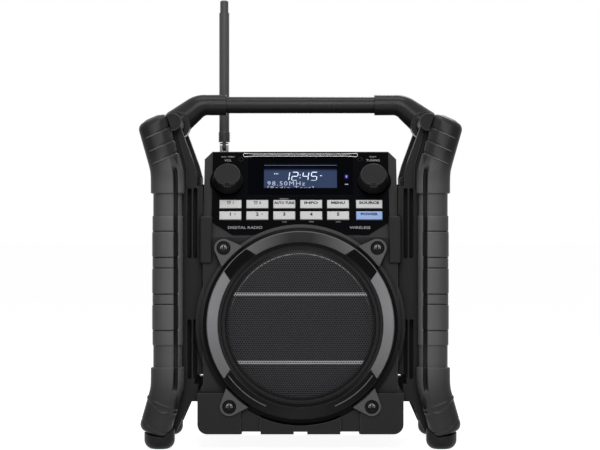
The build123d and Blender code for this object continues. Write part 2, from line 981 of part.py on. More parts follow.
def elbow_plane(turn):
    """Plane across the elbow's bend, after a turn from the handle tube's direction."""
    x = bend_start + elbow_bend_radius * math.sin(turn)
    z = handle_z - elbow_bend_radius * (1 - math.cos(turn))
    return Plane(origin=(x, 0, z), x_dir=(0, 1, 0), z_dir=(math.cos(turn), 0, -math.sin(turn)))


def elbow_ring(share):
    """Round section of the bend, which widens towards the arm."""
    radius = elbow_radius + (elbow_shoulder_radius - elbow_radius) * share
    return elbow_plane(bend_angle * share) * Circle(radius)


def handle_elbow():
    """Right elbow: a sleeve on the tube, a widening bend and arm, and an eye round the frame's bar."""
    sleeve = rod_x(elbow_radius, handle_grip_end, bend_start, 0, handle_z)
    bend = loft([elbow_ring(number / elbow_bend_steps) for number in range(elbow_bend_steps + 1)])
    along = elbow_plane(bend_angle)
    arm = along * Pos(0, 0, slope_length / 2) * Cone(elbow_shoulder_radius, elbow_foot_radius, slope_length)
    knuckle = Pos(frame_bar_x, 0, elbow_foot_z) * Sphere(elbow_foot_radius)
    half = elbow_eye_width / 2
    eye = rod_y(elbow_eye_radius, -half, half, frame_bar_x, frame_bar_z)
    form = sleeve + bend + arm + knuckle + eye
    form -= rod_x(handle_radius, handle_grip_end, handle_tube_end, 0, handle_z)
    return form - rod_y(frame_bar_radius, -half, half, frame_bar_x, frame_bar_z)


# ---------------------------------------------------------------- side frames
gusset_face = post_y + collar_thickness / 2


def frame_gusset():
    """Upright web behind the right front post, from the foot to the handle bar, with a lug by the plinth."""
    bar_inner = frame_bar_x - frame_bar_inset
    bar_outer = frame_bar_x + frame_bar_radius
    web = outline(
        (frame_toe_x, frame_toe_z), (lug_root_x, lug_low), (lug_tip_x, lug_low),
        (lug_tip_x, lug_high), (lug_neck_x, lug_high), (lug_neck_x, frame_low),
        (web_inner, frame_low), (web_inner, web_high),
        (frame_inner, web_high), (frame_inner, frame_high),
        (frame_knee_x, frame_knee_z), (bar_inner, frame_bar_z), (bar_outer, frame_bar_z),
        (gusset_outer, frame_high), (gusset_outer, frame_low), (foot_x, frame_toe_z),
    )
    form = Pos(0, gusset_face, 0) * extrude(Plane.XZ * web, amount=-gusset_depth)
    form -= block(web_inner, bumper_outer + bumper_gap, gusset_face, bumper_back + bumper_gap,
                  bumper_low - bumper_gap, bumper_high + bumper_gap)
    for number in range(2):
        middle = slot_first + slot_pitch * number
        for low, high in ((lower_slot_low, lower_slot_high), (upper_slot_low, upper_slot_high)):
            end = slot_width / 2
            back = gusset_face + slot_depth
            form -= block(middle - end, middle + end, gusset_face, back, low + end, high - end)
            form -= rod_y(end, gusset_face, back, middle, low + end)
            form -= rod_y(end, gusset_face, back, middle, high - end)
    return form


def side_frame(cut_by, bolts):
    """Right side frame: two webs, the plate between them, ribs, mounting rails and the handle bar."""
    gusset = frame_gusset()
    seat = frame_inner + frame_plate
    inside = gusset_face + gusset_depth
    form = gusset + mirror(gusset, about=Plane.XZ)
    form += block(frame_inner, seat, inside, -inside, frame_low, frame_high)
    for level in rib_levels:
        form += block(seat, seat + rib_reach, inside, -inside, level, level + rib_height)
    for y in (-frame_bolt_y, frame_bolt_y):
        form += block(half_width, frame_inner, y - rail_width / 2, y + rail_width / 2, frame_low, rail_high)
    form += rod_y(frame_bar_radius, post_y, -post_y, frame_bar_x, frame_bar_z)
    for one in cut_by:
        form -= one
    return form - bolts


# ---------------------------------------------------------------- antenna
def antenna_base():
    """Turret that swivels in the cabinet top, with its stem and retaining washer."""
    seat = cabinet_top + seat_gap
    head = cabinet_top + turret_height
    under = inner_top - turret_boss_drop - turret_washer_gap
    form = rod_z(turret_radius, seat, head, antenna_x, antenna_y)
    form += rod_z(turret_stem_radius, under - turret_washer, seat, antenna_x, antenna_y)
    return form + rod_z(turret_washer_radius, under - turret_washer, under, antenna_x, antenna_y)


def antenna_fork():
    """Two-pronged fork that carries the pivot pin."""
    seat = cabinet_top + turret_height
    wide = fork_width / 2
    deep = fork_depth / 2
    gap = fork_slot / 2
    form = Pos(antenna_x, antenna_y) * block(-wide, wide, -deep, deep, seat, fork_top)
    form = fillet(form.edges().filter_by(Axis.X).group_by(Axis.Z)[-1], fork_edge)
    slot_floor = pivot_z - tang_depth / 2 - seat_gap
    form -= Pos(antenna_x, antenna_y) * block(-gap, gap, -deep, deep, slot_floor, fork_top)
    return form - rod_x(pivot_pin_radius, antenna_x - wide, antenna_x + wide, antenna_y, pivot_z)


def antenna_pin():
    """Pivot pin through the fork."""
    wide = fork_width / 2
    return rod_x(pivot_pin_radius, antenna_x - wide, antenna_x + wide, antenna_y, pivot_z)


def antenna_mast():
    """Rubber mast: flat tang on the pin, ribbed sleeve, rod and slimmer tip."""
    half = tang_width / 2
    deep = tang_depth / 2
    form = rod_x(deep, -half, half, 0, pivot_z)
    form += block(-half, half, -deep, deep, pivot_z, sleeve_bottom)
    step = (sleeve_top - sleeve_bottom) / (2 * sleeve_ribs)
    profile = [(0, sleeve_bottom)]
    for rib in range(sleeve_ribs):
        low = sleeve_bottom + 2 * rib * step
        profile += [(sleeve_radius, low), (sleeve_radius, low + step)]
        profile += [(sleeve_groove_radius, low + step), (sleeve_groove_radius, low + 2 * step)]
    edge = mast_tip_edge
    profile += [
        (mast_radius, sleeve_top), (mast_radius, mast_tip_z), (mast_tip_radius, mast_tip_z),
        (mast_tip_radius, mast_top - edge), (mast_tip_radius - edge, mast_top), (0, mast_top),
    ]
    form += turned(*profile)
    form -= rod_x(pivot_pin_radius + running_gap, -half, half, 0, pivot_z)
    return Pos(antenna_x, antenna_y) * form


# ---------------------------------------------------------------- battery tray
cell_diameter = 2 * cell_radius
tray_roof = tray_floor + 2 * tray_wall + 3 * cell_diameter + 4 * cell_gap
cell_levels = [
    tray_floor + tray_wall + cell_gap + cell_radius + (cell_diameter + cell_gap) * row
    for row in range(3)
]
cell_y = tray_front + tray_wall + cell_gap + cell_radius
cell_side = tray_half - tray_wall
spring_length = 2 * cell_side - contact_thickness - 2 * (cell_length + cell_nub)


def battery_tray():
    """Open-backed tray behind the battery door."""
    outer = block(-tray_half, tray_half, tray_front, inner_back, tray_floor, tray_roof)
    front = tray_front + tray_wall
    return outer - block(-cell_side, cell_side, front, inner_back,
                         tray_floor + tray_wall, tray_roof - tray_wall)


def battery_cells():
    """Six D cells, two in line on each of three levels."""
    cells = []
    for z in cell_levels:
        for number in range(2):
            start = -cell_side + spring_length + number * (cell_length + cell_nub)
            body = rod_x(cell_radius, start, start + cell_length, cell_y, z)
            nub = rod_x(cell_nub_radius, start + cell_length, start + cell_length + cell_nub, cell_y, z)
            cells.append(body + nub)
    return group(cells)


def battery_contacts():
    """A conical spring at one end of each level and a flat contact at the other."""
    contacts = []
    step = spring_length / (2 * spring_turns + 1)
    foot = spring_radius + spring_turns * spring_taper
    for z in cell_levels:
        profile = [(0, 0), (foot, 0), (foot, step)]
        for turn in range(spring_turns):
            low = step * (2 * turn + 1)
            wide = foot - turn * spring_taper
            profile += [(wide - spring_neck, low), (wide - spring_neck, low + step)]
            profile += [(wide - spring_taper, low + step), (wide - spring_taper, low + 2 * step)]
        profile += [(0, spring_length)]
        spring = Pos(-cell_side, cell_y, z) * Rot(0, 90, 0) * turned(*profile)
        plate = rod_x(foot, cell_side - contact_thickness, cell_side, cell_y, z)
        contacts += [spring, plate]
    return group(contacts)


# ---------------------------------------------------------------- battery door and latch
door_face = cabinet_back + door_gap / 2
door_back = door_face + door_thickness
hinge_y = door_face + hinge_radius + door_gap / 2
hinge_lug_inner = hinge_lug_x - hinge_lug / 2
hinge_lug_outer = hinge_lug_x + hinge_lug / 2
latch_low = door_high + latch_over - latch_height
latch_middle = (latch_low + door_high) / 2


def battery_door():
    """Door over the battery tray, with its barrel, stub pins and the slot for the latch."""
    barrel_end = hinge_lug_inner - door_gap
    form = block(-door_half, door_half, door_face, door_back, door_low, door_high)
    corners = form.edges().filter_by(Axis.Y).group_by(Axis.Z)[-1]
    form = fillet(corners, door_corner_radius)
    inset = door_inset
    raised = block(-door_half + inset, door_half - inset, door_back, door_back + door_step,
                   door_low + inset, door_high - inset - latch_height)
    form += fillet(raised.faces().sort_by(Axis.Y)[-1].edges(), door_step / 2)
    form += block(-barrel_end, barrel_end, door_face, door_back, hinge_z, door_low)
    form += rod_x(hinge_radius, -barrel_end, barrel_end, hinge_y, hinge_z)
    form += rod_x(hinge_pin_radius, -hinge_lug_outer, hinge_lug_outer, hinge_y, hinge_z)
    slot_low = latch_middle - latch_key_half - latch_travel - seat_gap
    slot_high = latch_middle + latch_key_half + seat_gap
    side = latch_key_half + seat_gap
    return form - block(-side, side, door_back - latch_key - seat_gap, door_back, slot_low, slot_high)


def battery_latch():
    """Sliding latch on the door with a guide key behind and grip ribs in front."""
    seat = door_back + door_gap / 2
    half = latch_width / 2
    face = seat + latch_thickness
    form = block(-half, half, seat, face, latch_low, latch_low + latch_height)
    form = fillet(form.faces().sort_by(Axis.Y)[-1].edges(), latch_edge)
    form += block(-latch_key_half, latch_key_half, door_back - latch_key, seat,
                  latch_middle - latch_key_half, latch_middle + latch_key_half)
    rib_half = latch_rib_width / 2
    for rib in range(latch_ribs):
        low = latch_low + latch_rib_first + rib * latch_rib_pitch
        form += block(-rib_half, rib_half, face, face + latch_rib_proud, low, low + latch_rib_height)
    return form


def hinge_lugs():
    """Two lugs on the cabinet that carry the battery door, and the keeper for its latch."""
    lugs = []
    for side in (-1, 1):
        start, end = sorted((side * hinge_lug_inner, side * hinge_lug_outer))
        lug = rod_x(hinge_radius, start, end, hinge_y, hinge_z)
        lug += block(start, end, inner_back, hinge_y, hinge_z - hinge_radius, hinge_z + hinge_radius / 2)
        lug -= rod_x(hinge_pin_radius + running_gap, start, end, hinge_y, hinge_z)
        lugs.append(lug)
    half = latch_width / 2
    keeper_low = door_high + door_gap
    lugs.append(block(-half, half, inner_back, door_back, keeper_low, keeper_low + latch_over))
    return lugs


# ---------------------------------------------------------------- sockets
flap_face = cabinet_back + door_gap / 2
flap_back = flap_face + flap_thickness
flap_low = socket_low - flap_margin
flap_high = socket_high + flap_margin
flap_hinge_y = flap_face + flap_barrel_radius
flap_hinge_z = flap_high + flap_barrel_radius
flap_left = socket_x - socket_half_width - flap_margin
flap_right = socket_x + socket_half_width + flap_margin
socket_places = (socket_x - jack_spacing / 2, socket_x + jack_spacing / 2)
socket_z = (socket_low + socket_high) / 2


def socket_panel():
    """Plate with a round audio socket and a power inlet."""
    left = socket_x - socket_half_width
    right = socket_x + socket_half_width
    plate_inside = cabinet_back - socket_plate
    form = block(left, right, plate_inside, cabinet_back, socket_low, socket_high)
    jack_x, inlet_x = socket_places
    inner = plate_inside - jack_depth
    form += rod_y(jack_radius, inner, plate_inside, jack_x, socket_z)
    form += rod_y(inlet_radius, inner, plate_inside, inlet_x, socket_z)
    form -= rod_y(jack_bore_radius, inner + socket_plate, cabinet_back, jack_x, socket_z)
    form -= rod_y(inlet_bore_radius, inner + socket_plate, cabinet_back, inlet_x, socket_z)
    return form + rod_y(inlet_pin_radius, inner + socket_plate, plate_inside, inlet_x, socket_z)


def socket_flap():
    """Rubber flap hinged above the sockets."""
    form = block(flap_left, flap_right, flap_face, flap_back, flap_low, flap_high)
    form = fillet(form.edges().filter_by(Axis.Y).group_by(Axis.Z)[0], flap_margin)
    form += block(flap_left, flap_right, flap_face, flap_back, flap_high, flap_hinge_z)
    form += rod_x(flap_barrel_radius, flap_left, flap_right, flap_hinge_y, flap_hinge_z)
    reach = flap_lug + door_gap
    form += rod_x(flap_pin_radius, flap_left - reach, flap_right + reach, flap_hinge_y, flap_hinge_z)
    return form


def flap_lugs():
    """Two lugs on the cabinet that carry the flap."""
    lugs = []
    for start in (flap_left - door_gap - flap_lug, flap_right + door_gap):
        end = start + flap_lug
        lug = rod_x(flap_barrel_radius, start, end, flap_hinge_y, flap_hinge_z)
        half = flap_barrel_radius
        lug += block(start, end, inner_back, flap_hinge_y, flap_hinge_z - half, flap_hinge_z + half)
        lug -= rod_x(flap_pin_radius + running_gap, start, end, flap_hinge_y, flap_hinge_z)
        lugs.append(lug)
    return lugs


# ---------------------------------------------------------------- main board and housings
def main_board():
    """Main circuit board with three chips on its underside."""
    top = inner_top - main_board_drop
    half = main_board_width / 2
    back = main_board_front + main_board_depth
    form = block(-half, half, main_board_front, back, top - board_thickness, top)
    middle = main_board_front + main_board_depth / 2
    for x in (-2 * chip_size, 0, 2 * chip_size):
        low = top - board_thickness - chip_height
        form += block(x - chip_size / 2, x + chip_size / 2, middle - chip_size / 2,
                      middle + chip_size / 2, low, top - board_thickness)
    return form


def board_posts():
    """Posts under the cabinet top that carry the main board."""
    posts_made = []
    inset = board_post_inset
    side = main_board_width / 2 - inset
    for x in (-side, side):
        for y in (main_board_front + inset, main_board_front + main_board_depth - inset):
            posts_made.append(rod_z(keypad_post_radius, inner_top - main_board_drop, inner_top, x, y))
    return posts_made


def front_housing(tab_screws):
    """Front half of the cabinet shell with its speaker hole and panel openings."""
    reach = cabinet_top
    shell = cabinet - cabinet_inside
    form = shell & block(-reach, reach, -reach, housing_split, 0, reach * 2)
    for x, z in tab_places:
        form += rod_y(bezel_screw_radius, inner_front, inner_front + bezel_screw_length, x, z)
    for one in keypad_posts():
        form += one
    form -= blank
    form -= rod_y(baffle_hole_radius, cabinet_front, inner_front, 0, speaker_z)
    openings = block(-display_width / 2, display_width / 2, display_foot, display_head,
                     panel_inside, fascia_back)
    openings += block(keypad_left, keypad_right, keypad_low, keypad_high, panel_inside, fascia_back)
    for x in (-knob_x, knob_x):
        openings += rod_z(encoder_bush_radius, panel_inside, fascia_back, x, knob_up)
    return form - panel * openings - tab_screws - screws


def rear_housing():
    """Rear half of the cabinet shell with the battery and socket openings."""
    reach = cabinet_top
    shell = cabinet - cabinet_inside
    form = shell & block(-reach, reach, housing_split, reach, 0, reach * 2)
    for x, z in case_screw_places:
        form += rod_y(case_boss_radius, inner_back - case_boss_length, inner_back, x, z)
    for one in [*hinge_lugs(), *flap_lugs(), *board_posts()]:
        form += one
    form -= block(-cell_side, cell_side, inner_back, cabinet_back,
                  tray_floor + tray_wall, tray_roof - tray_wall)
    form -= block(socket_x - socket_half_width, socket_x + socket_half_width, inner_back, cabinet_back,
                  socket_low, socket_high)
    boss_foot = inner_top - turret_boss_drop
    form += rod_z(turret_boss_radius, boss_foot, inner_top, antenna_x, antenna_y) & cabinet
    bore = turret_stem_radius + running_gap
    return form - rod_z(bore, boss_foot, cabinet_top, antenna_x, antenna_y) - screws


# ---------------------------------------------------------------- every node
os.makedirs("parts", exist_ok=True)

right_post = post()
right_guard = post_guard()
right_elbow = handle_elbow()
arcs = bezel_arcs()
tab_screws = bezel_screws()
bezel = speaker_bezel(arcs, tab_screws)
plinth_cut = bezel_shadow(plinth_gap)
right_foot = rubber_foot(right_post)
cage_ends = [right_post, right_foot]
cage_ends += [mirror(one, about=Plane.XZ) for one in cage_ends]
right_frame = side_frame([*cage_ends, right_elbow], screws)

save(front_housing(tab_screws), "front_housing")
save(rear_housing(), "rear_housing")
save(fascia, "control_fascia")
save(window_lens, "display_window")
save(display(), "display_module")
save(trim(), "display_trim")
save(bottom_bumper(plinth_cut), "bottom_bumper")
save(group([one - cabinet - blank for one in left_and_right(corner_bumper())]), "corner_bumpers")
save(bezel, "speaker_bezel")
save(arcs, "bezel_arcs")
save(tab_screws, "bezel_screws")
save(speaker * rod_z(grille_radius, 0, grille_thickness, 0, 0), "speaker_grille")
save(basket(), "speaker_basket")
save(surround(), "speaker_surround")
save(cone(), "speaker_cone")
save(dust_cap(), "dust_cap")
save(magnet(), "speaker_magnet")

for name, one in zip(("front_right", "front_left", "rear_right", "rear_left"), four_corners(right_post)):
    save(one, name + "_post")
save(group(four_corners(right_guard)), "post_guards")
save(group(four_corners(right_foot)), "rubber_feet")
for side, one in zip(("right", "left"), left_and_right(right_frame)):
    save(one, side + "_side_frame")
for side, one in zip(("right", "left"), left_and_right(right_elbow)):
    save(one, side + "_handle_elbow")
save(handle_tube(), "handle_tube")
save(screws, "case_screws")

save(antenna_base(), "antenna_base")
save(antenna_fork(), "antenna_fork")
save(antenna_pin(), "antenna_pin")
save(antenna_mast(), "antenna_mast")

save(knob(-knob_x, 0), "volume_knob")
save(shaft(-knob_x), "volume_shaft")
save(knob(knob_x, running_gap), "tuning_knob")
save(shaft(knob_x), "tuning_shaft")
save(group([encoder(-knob_x), encoder(knob_x)]), "encoders")
for number, x in enumerate(key_places, start=1):
    save(key(x, upper_row), "upper_key_" + str(number))
    save(key(x, lower_row), "power_key" if x == power_key_x else "lower_key_" + str(number))
save(keypad_board(), "keypad_board")
save(main_board(), "main_board")

save(battery_tray(), "battery_tray")
save(battery_cells(), "battery_cells")
save(battery_contacts(), "battery_contacts")
save(battery_door(), "battery_door")
save(battery_latch(), "battery_latch")
save(socket_panel(), "socket_panel")
save(socket_flap(), "socket_flap")
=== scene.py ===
import math

import bpy
import numpy as np
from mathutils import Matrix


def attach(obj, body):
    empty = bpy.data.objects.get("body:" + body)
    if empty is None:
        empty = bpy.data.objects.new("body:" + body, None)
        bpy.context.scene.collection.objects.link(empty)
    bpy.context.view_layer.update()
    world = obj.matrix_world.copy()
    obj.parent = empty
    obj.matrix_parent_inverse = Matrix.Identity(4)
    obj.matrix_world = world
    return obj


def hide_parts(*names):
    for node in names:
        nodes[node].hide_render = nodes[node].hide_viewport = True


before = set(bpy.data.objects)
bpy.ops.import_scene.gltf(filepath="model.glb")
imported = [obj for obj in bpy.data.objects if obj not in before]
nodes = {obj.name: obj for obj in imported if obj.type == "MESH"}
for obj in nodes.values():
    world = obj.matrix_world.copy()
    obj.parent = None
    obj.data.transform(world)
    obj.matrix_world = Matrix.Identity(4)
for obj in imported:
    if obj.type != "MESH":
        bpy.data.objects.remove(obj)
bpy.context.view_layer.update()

# The radio's looks. Shapes are worked out in millimetres and turned into metres as they are put into a mesh.
MILLIMETRE = 0.001
LEAN = math.radians(32.0)
PANEL_FOOT = (-95.0, 203.0)
SPEAKER_Z = 119.0
CABINET_FRONT = -95.0
BLACK = (0.004, 0.004, 0.0042)
SIDE_FACE = 106.5
BACK_FACE = 93.0
# Where the bezel's screws stand, across and up, in metres.
TABS = ((0.0735, 0.1925), (0.0681, 0.0408))


# ---- surfaces
def full_turn(steps):
    """Angles evenly round a circle."""
    return np.arange(steps) * 2 * math.pi / steps


def circle(middle, radius, steps):
    """Points evenly round a flat circle."""
    turn = full_turn(steps)
    return np.stack([middle[0] + radius * np.cos(turn), middle[1] + radius * np.sin(turn)], -1)


def grid_faces(rows, columns, closed_rows=False):
    """Quads between neighbouring points of a grid of rings, whose last ring may lead back to its first."""
    here = np.arange(rows * columns).reshape(rows, columns)
    beside = np.roll(here, -1, 1)
    corners = np.stack([here, beside, np.roll(beside, -1, 0), np.roll(here, -1, 0)], -1)
    return (corners if closed_rows else corners[:-1]).reshape(-1, 4)


def closed_tube(points):
    """A grid of rings, rows by columns by three, closed at both ends by a fan onto the ring's middle."""
    rows, columns, _ = points.shape
    faces = grid_faces(rows, columns)
    here = np.arange(columns)
    there = (here + 1) % columns
    last = (rows - 1) * columns
    middle = np.full(columns, rows * columns)
    start = np.stack([there, here, middle, middle], -1)
    end = np.stack([last + here, last + there, middle + 1, middle + 1], -1)
    middles = np.stack([points[0].mean(0), points[-1].mean(0)])
    return np.concatenate([points.reshape(-1, 3), middles]), np.concatenate([faces, start, end])


def closed_ring(points):
    """A grid that closes on itself both ways, such as a sleeve or a bent ring."""
    rows, columns, _ = points.shape
    return points.reshape(-1, 3), grid_faces(rows, columns, closed_rows=True)


def outward(points, faces):
    """Turns every face round if the volume inside, summed over corner pyramids, comes out negative."""
    a, b, c, d = (points[faces[:, k]] for k in range(4))
    volume = np.einsum("ij,ij->", a, np.cross(b, c)) + np.einsum("ij,ij->", a, np.cross(c, d))
    if volume >= 0:
        return points, faces
    triangle = faces[:, 2] == faces[:, 3]
    return points, np.where(triangle[:, None], faces[:, [0, 2, 1, 1]], faces[:, [0, 3, 2, 1]])


def joined(shapes):
    """Several closed shapes as one set of points and faces, all facing outwards."""
    shapes = [outward(*shape) for shape in shapes]
    starts = np.cumsum([0] + [len(points) for points, faces in shapes])
    return (np.concatenate([points for points, faces in shapes]),
            np.concatenate([faces + start for (points, faces), start in zip(shapes, starts)]))


def mirrored(shape, x, y):
    """The shape on the other side of the radio."""
    points, faces = shape
    return points * np.array([x, y, 1.0]), faces


def moved(shape, across=0.0, up=0.0, out=0.0):
    """The shape further across, up and out."""
    points, faces = shape
    return points + np.array([across, up, out]), faces


def placed(shape, place):
    """The shape carried to its plane on the radio."""
    points, faces = shape
    return place(points), faces


def on_plane(origin, across, up, out):
    """A way to place points given across, up and out of a plane. It is known by where its zero lies and where
    its three directions point."""
    def place(points):
        return np.array(origin) + points @ np.array([across, up, out])
    return place


def facing_front(depth, height=0.0):
    """A way to place points on an upright plane that looks to the front."""
    return on_plane((0, depth, height), (1, 0, 0), (0, 0, 1), (0, -1, 0))


UP_PANEL = (0.0, math.sin(LEAN), math.cos(LEAN))
on_panel = on_plane((0.0, *PANEL_FOOT), (1, 0, 0), UP_PANEL, (0, -math.cos(LEAN), math.sin(LEAN)))
on_speaker = facing_front(CABINET_FRONT, SPEAKER_Z)


def smooth_step(value, start, end):
    """From 0 to 1 between two values, level at both ends."""
    share = np.clip((value - start) / (end - start), 0, 1)
    return share * share * (3 - 2 * share)


def turned(profile, turn):
    """A profile of radius and height carried round the upright axis, as a grid of rings. A radius may be a
    row of its own values, one for each angle."""
    return np.stack([np.stack([radius * np.cos(turn), radius * np.sin(turn), np.full(len(turn), height)], -1)
                     for radius, height in profile])


def rounded_outline(arc_steps, side_steps):
    """Outline of a rounded rectangle in three arrays: where each point's arc centre lies across and along,
    from -1 to 1, and the angle that the point faces. Between two arcs the centre slides along the side."""
    way, facing = [], []
    for corner, (arc, side) in enumerate(zip(arc_steps, side_steps)):
        way += [np.full(arc, corner), corner + np.linspace(0, 1, side + 2)[1:-1]]
        facing += [np.linspace(90 * corner - 90, 90 * corner, arc), np.full(side, 90.0 * corner)]
    way = np.concatenate(way)
    across, along = (np.interp(way, range(5), ends) for ends in ((1, 1, -1, -1, 1), (-1, 1, 1, -1, -1)))
    return across, along, np.radians(np.concatenate(facing))


def rounded(outline, half_across, half_along, radius):
    """Points across and along a rounded rectangle: the arcs' centres, and an arc of a circle round each."""
    a, b, facing = outline
    return (a * (half_across - radius) + radius * np.cos(facing),
            b * (half_along - radius) + radius * np.sin(facing))


def rounded_plate(middle, half, radius, low, high, edge=0.4):
    """A plate with rounded corners and a rounded front edge. Its rings go from the back's middle, round the
    back edge, up the side, round the front edge by a quarter circle and in to the front's middle."""
    curl = np.linspace(0, math.pi / 2, 5)
    reach = min(half) - 0.05
    inset = np.r_[reach, 0, edge * (1 - np.cos(curl)), reach][:, None]
    height = np.r_[low, low, high - edge + edge * np.sin(curl), high][:, None]
    corner = np.maximum(radius - inset, 0.02)
    x, y = rounded(rounded_outline((6,) * 4, (2,) * 4), half[0] - inset, half[1] - inset, corner)
    return closed_tube(np.stack([middle[0] + x, middle[1] + y, np.broadcast_to(height, x.shape)], -1))


def bent_wire(path, radius, steps=10, closed=True):
    """A round wire along a flat path: at each point a circle stands across the path's direction."""
    ahead = np.roll(path, -1, 0) - np.roll(path, 1, 0) if closed else np.gradient(path, axis=0)
    ahead /= np.linalg.norm(ahead, axis=1, keepdims=True)
    side = np.stack([ahead[:, 1], -ahead[:, 0]], -1)
    turn = full_turn(steps)
    x = path[:, 0, None] + radius * side[:, 0, None] * np.cos(turn)
    y = path[:, 1, None] + radius * side[:, 1, None] * np.cos(turn)
    z = radius * np.broadcast_to(np.sin(turn), x.shape)
    return np.stack([x, y, z], -1)


# ---- meshes
def add_piece(name, shapes, material, stands_for=(), sharp=35.0, body="cabinet", place=None):
    """Puts closed shapes, carried to their place, into a mesh and hangs it on its body. A face with a doubled
    last corner is a triangle."""
    points, faces = joined([placed(shape, place) for shape in shapes] if place else shapes)
    corners = [face[:3] if face[2] == face[3] else face for face in faces.tolist()]
    mesh = bpy.data.meshes.new(name)
    mesh.from_pydata((points * MILLIMETRE).tolist(), [], corners)
    mesh.validate()
    mesh.shade_smooth()
    mesh.set_sharp_from_angle(angle=math.radians(sharp))
    mesh.materials.append(material)
    piece = bpy.data.objects.new(name, mesh)
    bpy.context.scene.collection.objects.link(piece)
    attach(piece, body)
    if stands_for:
        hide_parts(*stands_for)


def lettering(words, height, bold=0.0, width=0.0, gap=1.0):
    """Printed words as a thin closed shape, centred, with the given height in millimetres and, if it is
    given, the width. Bold thickens the strokes, and gap spreads the letters."""
    half_thickness = 0.03
    curve = bpy.data.curves.new("words", "FONT")
    curve.body = words
    curve.align_x = "CENTER"
    curve.resolution_u = 3
    curve.extrude = half_thickness
    curve.offset = bold
    curve.space_character = gap
    holder = bpy.data.objects.new("words", curve)
    bpy.context.scene.collection.objects.link(holder)
    mesh = bpy.data.meshes.new_from_object(holder.evaluated_get(bpy.context.evaluated_depsgraph_get()))
    mesh.calc_loop_triangles()
    points = np.array([vertex.co for vertex in mesh.vertices], float)
    corners = np.array([triangle.vertices for triangle in mesh.loop_triangles])
    bpy.data.objects.remove(holder)
    bpy.data.curves.remove(curve)
    bpy.data.meshes.remove(mesh)
    low, high = points.min(0), points.max(0)
    points -= [(low[0] + high[0]) / 2, (low[1] + high[1]) / 2, 0]
    tall = height / (high[1] - low[1])
    wide = width / (high[0] - low[0]) if width else tall
    points *= [wide, tall, 1.0]
    return points, corners[:, [0, 1, 2, 2]]


# ---- shader nodes
class Nodes:
    """Short ways to add nodes to a tree. Every input is another node's socket or a plain value."""

    def __init__(self, tree):
        self.tree = tree

    def fill(self, socket, value):
        """Links an input to another node's socket, or sets its plain value."""
        if isinstance(value, bpy.types.NodeSocket):
            self.tree.links.new(value, socket)
        else:
            socket.default_value = (*value, 1.0) if socket.type == "RGBA" else value

    def set(self, sockets, **values):
        """Fills named inputs. Underscores stand for spaces."""
        for key, value in values.items():
            self.fill(sockets[key.replace("_", " ")], value)

    def add(self, kind, settings=None, **values):
        """A node with its settings and its named inputs filled in."""
        node = self.tree.nodes.new("ShaderNode" + kind)
        for key, value in (settings or {}).items():
            setattr(node, key, value)
        self.set(node.inputs, **values)
        return node

    def filled(self, kind, settings, *values):
        """The outputs of a node whose first inputs are filled in order."""
        node = self.add(kind, settings)
        for socket, value in zip(node.inputs, values):
            self.fill(socket, value)
        return node.outputs

    def math(self, operation, *values, clamp=False):
        """The result of a Math node."""
        return self.filled("Math", {"operation": operation, "use_clamp": clamp}, *values)[0]

    def vector(self, operation, *values):
        """The outputs of a Vector Math node."""
        return self.filled("VectorMath", {"operation": operation}, *values)

    def times(self, first, *others):
        """Several values multiplied together."""
        for other in others:
            first = self.math("MULTIPLY", first, other)
        return first

    def scaled(self, colour, gain):
        """A colour made lighter or darker."""
        node = self.add("VectorMath", {"operation": "SCALE"}, Scale=gain)
        self.fill(node.inputs[0], colour)
        return node.outputs[0]

    def mix(self, share, first, second):
        """A colour between two, by a share."""
        node = self.add("Mix", {"data_type": "RGBA"})
        for index, value in ((0, share), (6, first), (7, second)):
            self.fill(node.inputs[index], value)
        return node.outputs[2]

    def ramp(self, value, start, end, low=0.0, high=1.0):
        """A value carried evenly from one range to another, and held at its ends."""
        node = self.add("MapRange", Value=value, From_Min=start, From_Max=end, To_Min=low, To_Max=high)
        return node.outputs["Result"]

    def within(self, value, low, high):
        """1 where a value lies between two limits, otherwise 0."""
        return self.times(self.math("GREATER_THAN", value, low), self.math("LESS_THAN", value, high))

    def place(self):
        """Where a point lies on the radio, in metres."""
        return self.add("TexCoord").outputs["Object"]

    def folded(self):
        """Where a point lies, with the left folded onto the right and the front onto the back."""
        return self.vector("ABSOLUTE", self.place())[0]

    def position(self):
        """How far a point lies to the side, how far to the front or back, and how high."""
        return self.add("SeparateXYZ", Vector=self.folded()).outputs[:3]

    def from_axis(self, across, up):
        """Distance from the nearer of two lines, mirror images of each other, that run from front to back."""
        offset = self.vector("SUBTRACT", self.folded(), (across, 0.0, up))[0]
        return self.vector("LENGTH", self.vector("MULTIPLY", offset, (1.0, 0.0, 1.0))[0])["Value"]

    def noise(self, scale, detail, roughness=0.5):
        """Noise over the radio."""
        node = self.add("TexNoise", Vector=self.place(), Scale=scale, Detail=detail, Roughness=roughness)
        return node.outputs["Fac"]

    def use(self, group, **values):
        """The outputs of an effect placed with its own values."""
        return self.add("Group", {"node_tree": group}, **values).outputs


def effect(name, inputs, outputs):
    """A new shader node group: its nodes, what it is given and its results. A colour's value is a tuple."""
    tree = bpy.data.node_groups.new(name, "ShaderNodeTree")
    for label, value in inputs.items():
        kind = "Color" if isinstance(value, tuple) else "Float"
        socket = tree.interface.new_socket(label, in_out="INPUT", socket_type="NodeSocket" + kind)
        socket.default_value = value
    for label, kind in outputs.items():
        tree.interface.new_socket(label, in_out="OUTPUT", socket_type="NodeSocket" + kind)
    return Nodes(tree), tree.nodes.new("NodeGroupInput").outputs, tree.nodes.new("NodeGroupOutput").inputs


